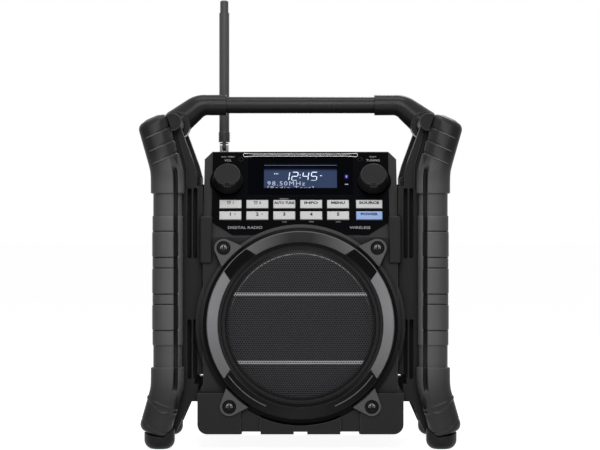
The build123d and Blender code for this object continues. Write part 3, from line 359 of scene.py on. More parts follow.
def make_grain():
    """Moulded grain: fine noise and pits, as a height."""
    net, given, result = effect("moulded grain", {"Scale": 900.0}, {"Height": "Float"})
    scale = given["Scale"]
    pits = net.add("TexVoronoi", {"feature": "SMOOTH_F1"}, Vector=net.place(), Scale=net.times(scale, 0.8))
    fine = net.noise(scale, 4.0, 0.6)
    net.set(result, Height=net.math("MULTIPLY_ADD", pits.outputs["Distance"], 0.6, fine))
    return net.tree


def make_tone_and_crevice_shade():
    """Uneven colour and gloss, and painted shade: slow noise lightens and darkens a colour and moves its
    roughness, and the colour is painted darker in grooves, corners and between parts, a painted shade where
    little light gets in."""
    inputs = {"Color": (0.1, 0.1, 0.1, 1.0), "Spread": 0.2, "Roughness": 0.5, "Scale": 22.0}
    net, given, result = effect("uneven tone and painted crevice shade", inputs, {"Color": "Color", "Roughness": "Float"})
    swing = net.times(net.math("SUBTRACT", net.noise(given["Scale"], 3.0, 0.55), 0.5), 2.0)
    gain = net.math("MULTIPLY_ADD", swing, given["Spread"], 1.0)
    # Painted shade: ambient occlusion darkens the colour in grooves, corners and between parts.
    corners = net.add("AmbientOcclusion", {"samples": 6}, Distance=0.011).outputs["AO"]
    gain = net.times(gain, net.ramp(corners, 0.25, 0.85, 0.10, 1.0))
    roughness = net.math("ADD", given["Roughness"], net.times(swing, 0.08), clamp=True)
    net.set(result, Color=net.scaled(given["Color"], gain), Roughness=roughness)
    return net.tree


def make_edge_wear_and_light():
    """Rounded edges, scuffed and lit: the normal is rounded over a radius, and where it leaves the flat face's
    normal at an edge, broken up by noise, the edge gets a lighter colour, which stands for scuffs and for a
    painted edge highlight."""
    inputs = {"Radius": 0.0006, "Amount": 0.5}
    net, given, result = effect("edge scuffs and painted edge light", inputs, {"Edge": "Float", "Normal": "Vector"})
    rounded = net.add("Bevel", {"samples": 6}, Radius=given["Radius"]).outputs["Normal"]
    facing = net.vector("DOT_PRODUCT", rounded, net.add("NewGeometry").outputs["True Normal"])["Value"]
    turned_away = net.math("MULTIPLY", net.math("SUBTRACT", 1.0, facing), 6.0, clamp=True)
    patches = net.math("MULTIPLY_ADD", net.noise(240.0, 3.0), 0.8, 0.3)
    # Painted edge highlight: the Edge share lightens the colour along edges, for scuffs and for light.
    net.set(result, Edge=net.times(turned_away, patches, given["Amount"]), Normal=rounded)
    return net.tree


def make_dust():
    """Dust that settles on what faces up, in soft patches."""
    net, given, result = effect("settled dust", {"Amount": 0.1}, {"Dust": "Float"})
    upward = net.add("SeparateXYZ", Vector=net.add("NewGeometry").outputs["Normal"]).outputs["Z"]
    patches = net.noise(60.0, 6.0, 0.7)
    net.set(result, Dust=net.times(net.math("MAXIMUM", upward, 0.0), patches, given["Amount"]))
    return net.tree


GRAIN = make_grain()
# The tone group paints shade into grooves and corners as well as uneven colour.
TONE = make_tone_and_crevice_shade()
# Besides scuffs, this group paints highlights along edges.
EDGE_WEAR_AND_LIGHT = make_edge_wear_and_light()
DUST = make_dust()
DUST_COLOUR = (0.30, 0.29, 0.27)


def grey(level):
    """A grey with a touch of blue."""
    return level, level, level * 1.02


def new_material(name):
    """A material, its nodes and its shader's inputs."""
    material = bpy.data.materials.new(name)
    material.use_nodes = True
    return material, Nodes(material.node_tree), material.node_tree.nodes["Principled BSDF"].inputs


def finish(name, colour, roughness, specular=0.3, metallic=0.0, grain=900.0, relief=0.25, spread=0.12,
           edge=0.0006, wear_and_light=0.3, worn_and_lit_edge=None, dust=0.06, tint=None):
    """A moulded, painted or plated finish: uneven colour with painted shade in grooves and corners, rounded
    edges made lighter for scuffs and for painted edge highlights, grain and a little dust. A tint is a
    function that puts its own colours over the plain one; most tints here paint light and shade."""
    material, net, shader = new_material(name)
    plain = tint(net, colour) if tint else colour
    tone = net.use(TONE, Color=plain, Spread=spread, Roughness=roughness)
    # Lighter edges: scuffs, and painted edge highlights.
    rubbed_and_lit = net.use(EDGE_WEAR_AND_LIGHT, Radius=edge, Amount=wear_and_light)
    worn_and_lit_edge = worn_and_lit_edge or tuple(min(1.0, share * 2.2 + 0.02) for share in colour)
    base = net.mix(rubbed_and_lit["Edge"], tone["Color"], worn_and_lit_edge)
    base = net.mix(net.use(DUST, Amount=dust)["Dust"], base, DUST_COLOUR)
    height = net.use(GRAIN, Scale=grain)["Height"]
    bump = net.add("Bump", Strength=relief, Distance=0.0002, Height=height, Normal=rubbed_and_lit["Normal"])
    net.set(shader, Base_Color=base, Roughness=tone["Roughness"], Normal=bump.outputs["Normal"],
            Specular_IOR_Level=specular, Metallic=metallic)
    return material


def bezel_colours_light_and_shade(net, colour):
    """Colours of the bezel by distance from the speaker's axis, mostly painted light and shade: a black inner
    wall of painted shade, a lip painted grey at the sides and near black at top and bottom, black slope
    between the arcs, a painted highlight on the crest that turns black lower down, a dark flange painted
    lighter towards the top, a black groove of painted shade by the tabs, and grey tabs round black wells of
    painted shade."""
    radius = net.from_axis(0.0, SPEAKER_Z * MILLIMETRE)
    side, front, height = net.position()
    # Painted light on the lip: near black at top and bottom, lighter grey at the sides.
    shade = net.mix(net.ramp(side, 0.040, 0.066, 0.0, 0.25), grey(0.006), colour)
    # Painted highlight on the crest, bright at the top and black lower down, and painted light on the flange,
    # lighter towards the top.
    crest = net.mix(net.ramp(height, 0.080, 0.150), BLACK, grey(0.20))
    flange = net.mix(net.ramp(height, 0.050, 0.210), grey(0.003), grey(0.065))
    # Painted shade: the black inner wall and the black groove between the crest and the tabs.
    rings = ((-1.0, 0.0764, BLACK), (0.0797, 0.0890, BLACK), (0.0890, 1.0, flange),
             (0.0890, 0.0897, crest), (0.0897, 0.0931, BLACK))
    for inner, outer, ring in rings:
        shade = net.mix(net.within(radius, inner, outer), shade, ring)
    for across, up in TABS:
        near = net.from_axis(across, up)
        tab = net.times(net.math("LESS_THAN", near, 0.0175), net.math("GREATER_THAN", radius, 0.0932),
                        net.math("GREATER_THAN", front, 0.0995))
        shade = net.mix(tab, shade, grey(0.125))
        # Painted shade: black wells round the screws.
        shade = net.mix(net.math("LESS_THAN", near, 0.0068), shade, BLACK)
    return shade


def arc_painted_shade(net, colour):
    """Painted shade: the top arc is darker, most of all in its middle, and the side arcs darken towards their
    feet, where less light falls.
    """
    side, front, height = net.position()
    top = net.times(net.math("GREATER_THAN", height, 0.175), net.ramp(side, 0.010, 0.050, 0.995, 0.45))
    foot = net.ramp(height, 0.130, 0.060, 0.0, 0.62)
    return net.mix(net.math("MAXIMUM", top, foot), colour, grey(0.008))


def mesh_bands_light_and_shade(net, colour):
    """Two light bands printed across the mesh, a painted highlight where it starts to roll over, brighter
    towards the top, and painted shade, black, past that.
    """
    side, front, height = net.position()
    radius = net.from_axis(0.0, SPEAKER_Z * MILLIMETRE)
    shade = colour
    for level in (0.1482, 0.0830):
        band = net.within(height, level - 0.0016, level + 0.0016)
        shade = net.mix(net.times(band, net.math("LESS_THAN", radius, 0.0700)), shade, grey(0.50))
    # Painted highlight on the roll-over line, fading out lower down.
    line = net.times(net.within(radius, 0.0676, 0.0684), net.ramp(height, 0.130, 0.175, 0.0, 0.8))
    shade = net.mix(line, shade, grey(0.40))
    # Painted shade: black past the roll-over.
    return net.mix(net.ramp(radius, 0.0688, 0.0705, 0.0, 0.92), shade, BLACK)


def screw_glints(net, colour):
    """Blackened heads with painted glints: bright round the cross of the four bezel screws, on the upper half
    of each head.
    """
    side, front, height = net.position()
    shade = colour
    for across, up in TABS:
        near = net.within(net.from_axis(across, up), 0.0007, 0.0032)
        # Painted highlight on the upper half round the cross.
        rubbed_and_lit = net.times(near, net.math("GREATER_THAN", front, 0.1012),
                           net.math("GREATER_THAN", height, up - 0.0008))
        shade = net.mix(rubbed_and_lit, shade, grey(0.34))
    return shade


def post_light_and_shade(net, colour):
    """Painted light and shade on the posts and guards: lighter towards the upright channel, darker at their
    outer edge, at the head and at the foot. The channel's floor is a black strip of painted shade. Painted
    highlights on the ledges, over painted dark lines, cross the head."""
    side, front, height = net.position()
    ridge = 0.00045
    above = net.math("MAXIMUM", net.math("SUBTRACT", height, 0.2649), 0.0)
    under = net.math("MAXIMUM", net.math("SUBTRACT", 0.0600, height), 0.0)
    outer = net.math("SUBTRACT", side, net.times(net.math("ADD", above, under), 0.296))
    # Painted light across and up the post.
    gain = net.times(net.ramp(outer, 0.1405, 0.1220, 0.66, 1.28), net.ramp(height, 0.252, 0.284, 1.0, 0.15),
                     net.ramp(height, 0.085, 0.045, 1.0, 0.36))
    # Painted shade on the channel's floor.
    strip = net.times(net.within(side, 0.1170, 0.1204), net.within(front, 0.1050, 0.1108))
    shade = net.mix(strip, net.scaled(colour, gain), grey(0.013))
    along = net.vector("DOT_PRODUCT", net.folded(), (-0.3934, 0.0, -0.8835))["Value"]
    from_top = net.math("ADD", along, 0.3365)
    reach = net.times(net.ramp(outer, 0.1200, 0.1245), net.ramp(outer, 0.1395, 0.1365))
    for level in (0.0160, 0.0285, 0.0404):
        top, foot = level - ridge, level + ridge
        # Painted highlight on each ledge and painted shadow under it.
        shade = net.mix(net.times(net.within(from_top, top, foot), reach), shade, grey(0.11))
        shade = net.mix(net.times(net.within(from_top, foot, level + 0.0013), reach), shade, grey(0.006))
    return shade


def glow(name, low, high, strength, foot=0.1690, head=0.2000, cloudy=0.0):
    """A backlit display: the light goes from one colour to another up the panel, under a satin surface."""
    material, net, shader = new_material(name)
    up_panel = net.vector("DOT_PRODUCT", net.place(), UP_PANEL)["Value"]
    drift = net.times(net.math("SUBTRACT", net.noise(30.0, 2.0), 0.5), cloudy)
    shade = net.mix(net.math("ADD", net.ramp(up_panel, foot, head), drift, clamp=True), low, high)
    net.set(shader, Base_Color=shade, Emission_Color=shade, Emission_Strength=strength, Roughness=0.4,
            Specular_IOR_Level=0.01)
    return material


CAGE = finish("charcoal cage rubber", grey(0.094), 0.36, specular=0.14, grain=1300.0, relief=0.15,
              edge=0.0007, wear_and_light=0.25, worn_and_lit_edge=grey(0.15), tint=post_light_and_shade)
GUARD = finish("charcoal guard rubber", grey(0.108), 0.38, specular=0.14, grain=1300.0, relief=0.2,
               edge=0.0005, wear_and_light=0.12, tint=post_light_and_shade)
SIDE = finish("black side frame", grey(0.026), 0.42, specular=0.06, edge=0.0009, wear_and_light=0.9, worn_and_lit_edge=grey(0.09))
# Lighter than the side frame: a painted highlight along the raised beads and rings.
BEAD = finish("raised frame edge", grey(0.05), 0.4, specular=0.08, relief=0.1, wear_and_light=0.2)
HOUSING = finish("cabinet plastic", grey(0.033), 0.42, specular=0.06, relief=0.35, edge=0.0007, wear_and_light=1.0,
                 worn_and_lit_edge=grey(0.17))
SOFT_BLACK = finish("black handle rubber", grey(0.019), 0.28, specular=0.12, edge=0.0012, grain=1500.0,
                    relief=0.15, wear_and_light=0.5)
BUMPER = finish("bumper rubber", grey(0.030), 0.48, specular=0.06, edge=0.0008, wear_and_light=1.0, worn_and_lit_edge=grey(0.15))
FOOT = finish("foot rubber", grey(0.010), 0.45, specular=0.15, edge=0.0012, wear_and_light=0.4)
FASCIA = finish("gloss black fascia", (0.0014, 0.0016, 0.0024), 0.14, specular=0.03, grain=300.0, relief=0.02,
                edge=0.0003, wear_and_light=0.5, worn_and_lit_edge=(0.05, 0.05, 0.055), dust=0.0)
WINDOW = finish("gloss black window", (0.0006, 0.0009, 0.0020), 0.08, specular=0.02, relief=0.0, wear_and_light=0.3,
                worn_and_lit_edge=(0.02, 0.02, 0.025), dust=0.0)
BEZEL = finish("bezel plastic", grey(0.095), 0.38, specular=0.04, edge=0.0005, wear_and_light=0.6, worn_and_lit_edge=grey(0.20),
               tint=bezel_colours_light_and_shade)
ARC = finish("satin grey paint", (0.300, 0.300, 0.310), 0.36, specular=0.25, edge=0.0003, grain=2200.0,
             relief=0.08, spread=0.08, tint=arc_painted_shade)
GRILLE = finish("black perforated steel", (0.040, 0.040, 0.044), 0.36, specular=0.15, edge=0.0002, wear_and_light=0.2,
                relief=0.05, tint=mesh_bands_light_and_shade)
METAL = dict(metallic=1.0, specular=0.5)
CHROME = finish("bright plating", grey(0.40), 0.25, relief=0.01, edge=0.00002, wear_and_light=0.0, dust=0.0, spread=0.03,
                **METAL)
DARK_CHROME = finish("smoked plating", grey(0.20), 0.18, relief=0.02, edge=0.0001, wear_and_light=0.6, worn_and_lit_edge=grey(0.75),
                     dust=0.0, **METAL)
# Blackened screw heads: their light edges stand for scuffs and for painted glints.
STEEL = finish("blackened screw steel", BLACK, 0.22, specular=0.05, relief=0.1, edge=0.00015, wear_and_light=0.6,
               worn_and_lit_edge=grey(0.62), dust=0.0, tint=screw_glints)
SHAFT = finish("turned steel", grey(0.45), 0.3, relief=0.05, edge=0.0002, **METAL)
# The knob's light edges are a painted edge highlight as well as scuffs.
KNOB = finish("soft-touch knob", grey(0.014), 0.42, specular=0.08, edge=0.0009, relief=0.12, wear_and_light=0.9,
              worn_and_lit_edge=grey(0.20))
CAP = dict(roughness=0.42, edge=0.0005, wear_and_light=0.15, relief=0.06, spread=0.04)
KEY = finish("off-white key", (0.64, 0.64, 0.635), worn_and_lit_edge=(0.74, 0.74, 0.73), dust=0.1, **CAP)
BLUE_KEY = finish("pale blue key", (0.31, 0.44, 0.78), worn_and_lit_edge=(0.50, 0.62, 0.9), dust=0.05, **CAP)
MAST = finish("antenna rubber", grey(0.085), 0.42, specular=0.25, edge=0.0004, relief=0.1)
PAPER = finish("speaker paper", grey(0.008), 0.75, specular=0.1, relief=0.5, grain=500.0)
BOARD = finish("green circuit board", (0.02, 0.12, 0.05), 0.4, relief=0.1)
CELL = finish("cell jacket", grey(0.30), 0.35, metallic=0.6, relief=0.05)
INK = dict(roughness=0.6, relief=0.02, edge=0.0001, wear_and_light=0.0, dust=0.0)
INK_DARK = finish("dark key print", (0.010, 0.010, 0.012), **INK)
INK_GREY = finish("grey panel print", grey(0.36), **INK)
# The screen fades to near black at its top: a painted shadow along the top of the screen.
DISPLAY = glow("display backlight and painted shadow", (0.024, 0.037, 0.080), (0.0002, 0.0006, 0.004), 0.6, 0.1978, 0.2010,
               cloudy=0.2)
SEGMENT = glow("lit segments", (0.34, 0.38, 0.46), (0.72, 0.80, 0.92), 0.62, 0.1870, 0.1890)
EDGE_LIGHT = glow("display edge light", (0.10, 0.12, 0.17), (0.10, 0.12, 0.17), 0.6)
BLUE_LIGHT = glow("blue status light", (0.22, 0.20, 0.80), (0.20, 0.18, 0.70), 0.9)
BLUE_HALO = glow("blue status halo", (0.010, 0.010, 0.045), (0.010, 0.010, 0.045), 0.5)

WEARS = {
    HOUSING: "front_housing rear_housing battery_door battery_tray battery_latch socket_panel",
    FASCIA: "control_fascia", WINDOW: "display_window display_module", CHROME: "display_trim",
    DARK_CHROME: "antenna_fork", BUMPER: "bottom_bumper corner_bumpers socket_flap", GUARD: "post_guards",
    CAGE: "front_right_post front_left_post rear_right_post rear_left_post", FOOT: "rubber_feet",
    SIDE: "right_side_frame left_side_frame", SOFT_BLACK: "right_handle_elbow left_handle_elbow handle_tube",
    BEZEL: "speaker_bezel", ARC: "bezel_arcs", GRILLE: "speaker_grille speaker_basket speaker_magnet",
    STEEL: "bezel_screws case_screws antenna_pin", SHAFT: "volume_shaft tuning_shaft encoders",
    PAPER: "speaker_cone dust_cap speaker_surround", BOARD: "keypad_board main_board",
    CELL: "battery_cells battery_contacts", KNOB: "volume_knob tuning_knob",
    MAST: "antenna_base antenna_mast", BLUE_KEY: "power_key",
    KEY: " ".join(node for node in nodes if "_key_" in node),
}
for material, wearers in WEARS.items():
    for node in wearers.split():
        nodes[node].data.materials.clear()
        nodes[node].data.materials.append(material)


# ---- roll cage posts
POST_X = 126.8
POST_Y = -100.0
POST_RADIUS = 10.8
UPPER_BEND = 264.9
LOWER_BEND = 60.0
SPLAY_OUT = math.tan(math.radians(16.5))
SPLAY_BACK = math.tan(math.radians(9.5))
END_SLOPE = math.tan(math.radians(24.0))
END_ROUND = 6.0
HEAD_DOME = 1.4
CHANNEL = -8.1
CROWN = 0.09
LOWER_COLLAR = 78.7
UPPER_COLLAR = 244.5


def channel_depth(across, frontness, z, depth):
    """How far the upright channel sinks into the front: a flat-bottomed bell across, faded at both bends."""
    across_share = np.exp(-((across - CHANNEL) / 1.9) ** 6)
    ends = smooth_step(z, 54.0, 61.0) * smooth_step(z, 272.0, 265.0)
    return depth * across_share * ends * smooth_step(frontness, 0.1, 0.6)


def crowned(outline, half_width, half_depth, corner):
    """Points across and back of a rounded rectangle, crowned by the square of the distance across."""
    across, back = rounded(outline, half_width, half_depth, corner)
    return across, back * (1 - CROWN * (across / half_width) ** 2)


def shingles(from_top, inner):
    """Sunken steps under the sloping head: between two lines the skin sinks evenly, and comes back out in a
    ledge at the lower one. The steps are deeper towards the inner side, where a groove lies over each
    ledge."""
    sunk = np.zeros(from_top.shape)
    for low, high in ((5.0, 16.4), (16.4, 28.9), (28.9, 40.8)):
        into = np.clip((from_top - low) / (high - low), 0, 1)
        step = into * smooth_step(from_top, high + 0.1, high - 0.7)
        groove = np.exp(-((from_top - high + 1.1) / 0.7) ** 2)
        sunk = sunk + (0.55 + 0.75 * inner) * step + 0.5 * inner * groove
    return -sunk


def lower_beads(x, z):
    """Two raised beads and a seam across the lower end. Each line rises by a square of the distance
    outwards."""
    first = 41.1 + 0.33 * (x - 127.8) + 0.0095 * (x - 127.8) ** 2
    second = 35.0 + 6.9 * (np.maximum(x - 130.0, 0) / 9.9) ** 2
    seam = 15.9 + 0.0448 * (x - 125.6) + 0.01855 * (x - 125.6) ** 2
    beads = 0.9 * np.exp(-((z - first) / 1.2) ** 2) + 0.8 * np.exp(-((z - second) / 1.1) ** 2)
    return beads - 0.7 * np.exp(-((z - seam) / 0.6) ** 2)


def post_skin():
    """Right front post. Rings of a rounded rectangle go from the lower end to the upper one. Their half width
    steps from the collars to the neck, and past each bend they lean with the splay, turn step by step into
    the sloping end, and curl in over it by a quarter circle and a low dome. Steps, beads and the channel are
    added along the direction that each point faces."""
    outline = rounded_outline((12, 12, 12, 44), (6, 6, 6, 22))
    toward_x, toward_y = np.cos(outline[2]), np.sin(outline[2])
    curl = np.linspace(0, math.pi / 2, 7)
    spread = np.linspace(0, 1, 6)[1:]
    cap_inset = np.r_[END_ROUND * (1 - np.cos(curl)), END_ROUND + 6.6 * spread]
    cap_drop = np.r_[END_ROUND * (1 - np.sin(curl)) + HEAD_DOME, HEAD_DOME * (1 - spread) ** 2]
    run = np.linspace(0, 1, 130)[1:]
    share = np.r_[run, np.ones(len(cap_inset) - 1)]
    inset = np.r_[np.zeros(len(run)), cap_inset[1:]]
    drop = np.r_[np.full(len(run), cap_drop[0]), cap_drop[1:]]
    near = np.linspace(-1.6, 1.6, 13)
    even = np.linspace(LOWER_BEND, UPPER_BEND, 54)
    straight = np.unique(np.r_[even, near + LOWER_COLLAR, near + UPPER_COLLAR])
    zero = np.zeros(len(straight))
    end = np.r_[-share[::-1], zero, share][:, None]
    inset = np.r_[inset[::-1], zero, inset][:, None]
    drop = np.r_[drop[::-1], zero, drop][:, None]
    level = np.r_[np.full(len(share), LOWER_BEND), straight, np.full(len(share), UPPER_BEND)][:, None]
    neck = smooth_step(level, LOWER_COLLAR - 0.6, LOWER_COLLAR + 0.6)
    collar = 1 - neck + smooth_step(level, UPPER_COLLAR - 0.6, UPPER_COLLAR + 0.6)
    half_width = 13.7 + 2.2 * collar - inset
    half_depth = 13.0 + 2.0 * collar - inset
    across, back = crowned(outline, half_width, half_depth, np.maximum(POST_RADIUS - inset, 0.6))
    x = POST_X + across
    above = (323.0 - END_SLOPE * (x - SPLAY_OUT * UPPER_BEND - 130.0)) / (1 + END_SLOPE * SPLAY_OUT)
    below = (7.4 + END_SLOPE * (x + SPLAY_OUT * LOWER_BEND - 129.7)) / (1 + END_SLOPE * SPLAY_OUT)
    upper = UPPER_BEND + end * (above - UPPER_BEND) - drop * np.abs(end)
    lower = LOWER_BEND + end * (LOWER_BEND - below) + drop * np.abs(end)
    z = np.where(end > 0, upper, np.where(end < 0, lower, level))
    over = np.maximum(z - UPPER_BEND, LOWER_BEND - z)
    bend = 0.5 * (over + np.sqrt(over * over + 16.0))
    x = x + SPLAY_OUT * bend
    y = POST_Y + back + SPLAY_BACK * bend
    from_top = above - z
    steps = shingles(from_top, smooth_step(-across, -3.0, 9.0)) * (end > 0)
    steps = steps * smooth_step(from_top, 4.0, 8.0) * smooth_step(across, 13.0, 7.0)
    beads = lower_beads(x, z) * (end < 0) * smooth_step(-toward_y, -0.6, 0.3)
    swell = (steps + beads) * smooth_step(inset, 1.0, 0.0)
    x = x + swell * toward_x
    y = y + swell * toward_y
    y = y + channel_depth(across, -toward_y, z, half_depth - 10.4) * smooth_step(inset, 1.0, 0.0)
    return closed_tube(np.stack([x, y, z], -1))


def post_guard():
    """Rubber sleeve on the right front post's neck: rings of a rounded rectangle go up the outside, over the
    rim, down the inside and back. Three pads stand between grooves that follow a rounded rectangle's outline,
    measured round the post and up it."""
    outline = rounded_outline((38, 10, 10, 62), (14, 4, 4, 22))
    toward_x, toward_y = np.cos(outline[2]), np.sin(outline[2])
    half_width, half_depth = 14.7, 14.4
    low, high, rim, wall = 99.6, 223.5, 1.1, 1.35
    half_pad, pad_reach, pad_middle, pad_corner = 12.45, 17.65, 5.6, 3.0
    middles = [top - half_pad for top in (208.4, 173.5, 138.9)]
    edges = [middle + side * half_pad for middle in middles for side in (-1, 1)]
    fine = np.concatenate([np.linspace(-4.0, 4.0, 25) + edge for edge in edges])
    outside = np.unique(np.r_[np.linspace(low + rim, high - rim, 40), fine])
    curl = np.linspace(0, math.pi / 2, 5)[1:]
    rise, tuck = rim * np.sin(curl), rim * (1 - np.cos(curl))
    level = np.r_[outside, high - rim + rise, high - 0.4, low + 0.4, (low + rim - rise)[::-1]][:, None]
    inset = np.r_[np.zeros(len(outside)), tuck, wall, wall, tuck[::-1]][:, None]
    across, back = crowned(outline, half_width - inset, half_depth - inset, POST_RADIUS - inset)
    girth = np.stack(rounded(outline, half_width, half_depth, POST_RADIUS), -1)
    length = np.r_[0, np.cumsum(np.linalg.norm(np.diff(girth, axis=0), axis=1))]
    total = length[-1] + np.linalg.norm(girth[0] - girth[-1])
    around = np.where(length > total / 2, length - total, length) + half_width - POST_RADIUS
    distance = np.full((len(level), len(around)), 99.0)
    for middle in middles:
        sideways = np.maximum(np.abs(around - pad_middle) - pad_reach + pad_corner, 0)
        upright = np.maximum(np.abs(level - middle) - half_pad + pad_corner, 0)
        near = np.hypot(sideways, upright) - pad_corner
        distance = np.where(np.abs(near) < np.abs(distance), near, distance)
    swell = -1.30 * np.exp(-(distance / 0.60) ** 2) - 0.30 * smooth_step(distance, -0.2, 1.2)
    swell = swell * (inset < 1.2)
    x = POST_X + across + swell * toward_x
    y = POST_Y + back + swell * toward_y
    y = y + channel_depth(across, -toward_y, np.clip(level, 70, 200), 4.0)
    return closed_ring(np.stack([x, y, np.broadcast_to(level, x.shape)], -1))


CORNERS = (("front_right", 1, 1), ("front_left", -1, 1), ("rear_right", 1, -1), ("rear_left", -1, -1))
post_shape = post_skin()
guard_shape = post_guard()
for corner_name, side_x, side_y in CORNERS:
    add_piece(corner_name + "_post_skin", [mirrored(post_shape, side_x, side_y)], CAGE,
              stands_for=[corner_name + "_post"], sharp=50)
    add_piece(corner_name + "_guard", [mirrored(guard_shape, side_x, side_y)], GUARD,
              stands_for=["post_guards"], sharp=50)


# ---- side frame details
def frame_beads():
    """Raised bead along the front of the right side frame, and a ring round the end of its handle bar."""
    steps, bends = np.linspace(0, 2, 59), ((109.4, 109.8, 118.3), (250.9, 271.8, 302.9))
    path = np.stack([np.interp(steps, (0, 1, 2), ends) for ends in bends], -1)
    line = closed_tube(bent_wire(path, 0.7, closed=False))
    ring = closed_ring(bent_wire(circle((122.5, 313.0), 7.9, 40), 0.7))
    return [placed(line, facing_front(-85.2)), placed(ring, facing_front(-99.9))]


for corner_name, side_x, side_y in CORNERS:
    beads = [mirrored(shape, side_x, side_y) for shape in frame_beads()]
    add_piece(corner_name + "_frame_bead", beads, BEAD)


# ---- speaker
def speaker_mesh():
    """Perforated steel: cells stand at whole steps along two directions 60 degrees apart. Each is a hexagon
    with a smaller hexagon cut out. The sheet sinks by the square of its distance from the middle, and by a
    high power of it where it rolls over at the rim."""
    pitch, sight, reach, hole, thickness = 2.3, 73.2, 74.0, 0.80, 0.8
    span = int(sight / pitch) * 2
    steps = np.arange(-span, span)
    i, j = (grid.ravel() for grid in np.meshgrid(steps, steps, indexing="ij"))
    centres = np.stack([(i + j / 2) * pitch, j * pitch * math.sqrt(3) / 2], -1)
    centres = centres[np.hypot(centres[:, 0], centres[:, 1]) < sight]
    turn = math.pi / 6 + full_turn(6)
    corner = np.stack([np.cos(turn), np.sin(turn)], -1)
    wide = centres[:, None] + corner * pitch / math.sqrt(3)
    narrow = centres[:, None] + corner * hole
    flat = np.stack([wide, narrow, narrow, wide], 1)
    out = np.hypot(flat[..., 0], flat[..., 1]) / reach
    height = 2.9 - 0.9 * out ** 2 - 2.6 * out ** 14 - np.array([0, 0, thickness, thickness])[:, None]
    points = np.concatenate([flat, height[..., None]], -1)
    ring = grid_faces(4, 6, closed_rows=True)
    faces = (np.arange(len(centres)) * 24)[:, None, None] + ring
    return points.reshape(-1, 3), faces.reshape(-1, 4)


def mesh_rim():
    """Flat seat round the mesh, turned round the speaker's axis from a closed profile."""
    seat = ((72.6, 0.0), (72.6, 0.35), (77.2, 0.35), (77.2, 0.0))
    return closed_ring(turned(seat, full_turn(180)))


add_piece("speaker_mesh", [speaker_mesh(), mesh_rim()], GRILLE, stands_for=["speaker_grille"],
          sharp=30, place=on_speaker)


def arc_strip(middle, section, outer_half, inner_half):
    """A strip round part of the bezel. One way of the grid follows the angle, the other the strip's section
    in radius and height. The angle's reach narrows evenly from the outer edge to the inner one."""
    radius, height = np.array(section).T
    reach = inner_half + (outer_half - inner_half) * (radius - 79.3) / 9.6
    turn = np.radians(middle + np.linspace(-1, 1, 90)[:, None] * reach)
    height = np.broadcast_to(height, turn.shape)
    return closed_tube(np.stack([radius * np.cos(turn), radius * np.sin(turn), height], -1))


SATIN = [(79.35, 5.45), (79.35, 5.66), (79.65, 5.81), (88.6, 8.96), (88.95, 9.02), (88.95, 8.80)]
BED = [(79.32, 4.2), (79.32, 5.60), (88.98, 8.99), (88.98, 7.4)]
ARCS = ((90.0, 35.3, 32.2), (180.0, 34.9, 32.2), (0.0, 34.9, 32.2))
add_piece("satin_arcs", [arc_strip(middle, SATIN, outer, inner) for middle, outer, inner in ARCS], ARC,
          stands_for=["bezel_arcs"], place=on_speaker)
add_piece("arc_beds", [arc_strip(middle, BED, 33.5, 33.5) for middle, outer, inner in ARCS], BEZEL,
          stands_for=["bezel_arcs"], place=on_speaker)
# Raised ridges over the black segments, in the light satin paint: their lightness is a painted highlight.
HIGHLIGHT_RIB = [(83.55, 6.9), (83.55, 7.25), (83.8, 7.5), (84.2, 7.6), (84.45, 7.5), (84.45, 7.1)]
add_piece("bezel_highlight_ridges", [arc_strip(middle, HIGHLIGHT_RIB, 16.0, 16.0) for middle in (231.0, -51.0)], ARC,
          place=on_speaker)


# ---- bolts
def recess_radius(turn, reach, sides):
    """Radius of a recess at an angle: flat sides for a socket, or arms for a cross."""
    if sides:
        part = 2 * math.pi / sides
        return reach * math.cos(part / 2) / np.cos(np.mod(turn, part) - part / 2)
    return reach * (0.22 + 0.78 * np.abs(np.cos(2 * turn)) ** 6)


def screw_head(radius, height, reach, depth, sides=0):
    """A screw's head: rings go from the middle of its foot, out and up the side, round a chamfer, in to the
    recess's outline, down its wall and in to the middle of its floor."""
    turn = full_turn(72)
    hole = recess_radius(turn, reach, sides)
    edge = min(0.5, height / 3)
    rings = [(0.05, 0.0), (radius, 0.0), (radius, height - edge), (radius - edge * 0.3, height - edge * 0.3),
             (radius - edge, height), (hole, height), (hole * 0.92, height - depth),
             (0.05, height - depth * 1.1)]
    return closed_tube(turned(rings, turn))


bolt = screw_head(5.5, 3.2, 2.9, 2.0, sides=6)
case_screw = screw_head(4.0, 1.95, 2.4, 1.4)
heads = [placed(bolt, on_plane((side * SIDE_FACE, y, z), (0, side, 0), (0, 0, 1), (side, 0, 0)))
         for side in (-1, 1) for y in (-46.0, 46.0) for z in (78.0, 242.0)]
heads += [placed(case_screw, on_plane((x, BACK_FACE, z), (-1, 0, 0), (0, 0, 1), (0, 1, 0)))
          for x in (-76.0, 76.0) for z in (34.0, 262.0)]
add_piece("screw_heads", heads, STEEL, stands_for=["case_screws"])


# ---- display
def window_frame():
    """Gloss window with a square opening over the display: rings of a rounded rectangle go round the outer
    edge, over the front, down the opening's side and back behind."""
    outline = rounded_outline((5,) * 4, (6,) * 4)
    back, side, front, chamfer = -1.5, 0.35, 0.6, 0.25
    outer, opening = ((51.2, 22.35), 68.65, 0.8, -chamfer), ((35.4, 13.75), 69.5, 0.6, chamfer)
    rings = []
    for edge, heights in ((outer, (back, side, front)), (opening, (front, side, back))):
        half, middle, radius, turn_in = edge
        for height in heights:
            grow = turn_in if height == front else 0.0
            x, y = rounded(outline, half[0] + grow, half[1] + grow, radius)
            rings.append(np.stack([x, middle + y, np.full(x.shape, height)], -1))
    return closed_ring(np.stack(rings))


add_piece("window_glass", [window_frame()], WINDOW, stands_for=["display_window"], place=on_panel)
screen = rounded_plate((0, 69.5), (36.3, 14.5), 0.5, -2.05, -1.45, edge=0.1)
add_piece("display_screen", [screen], DISPLAY, place=on_panel)


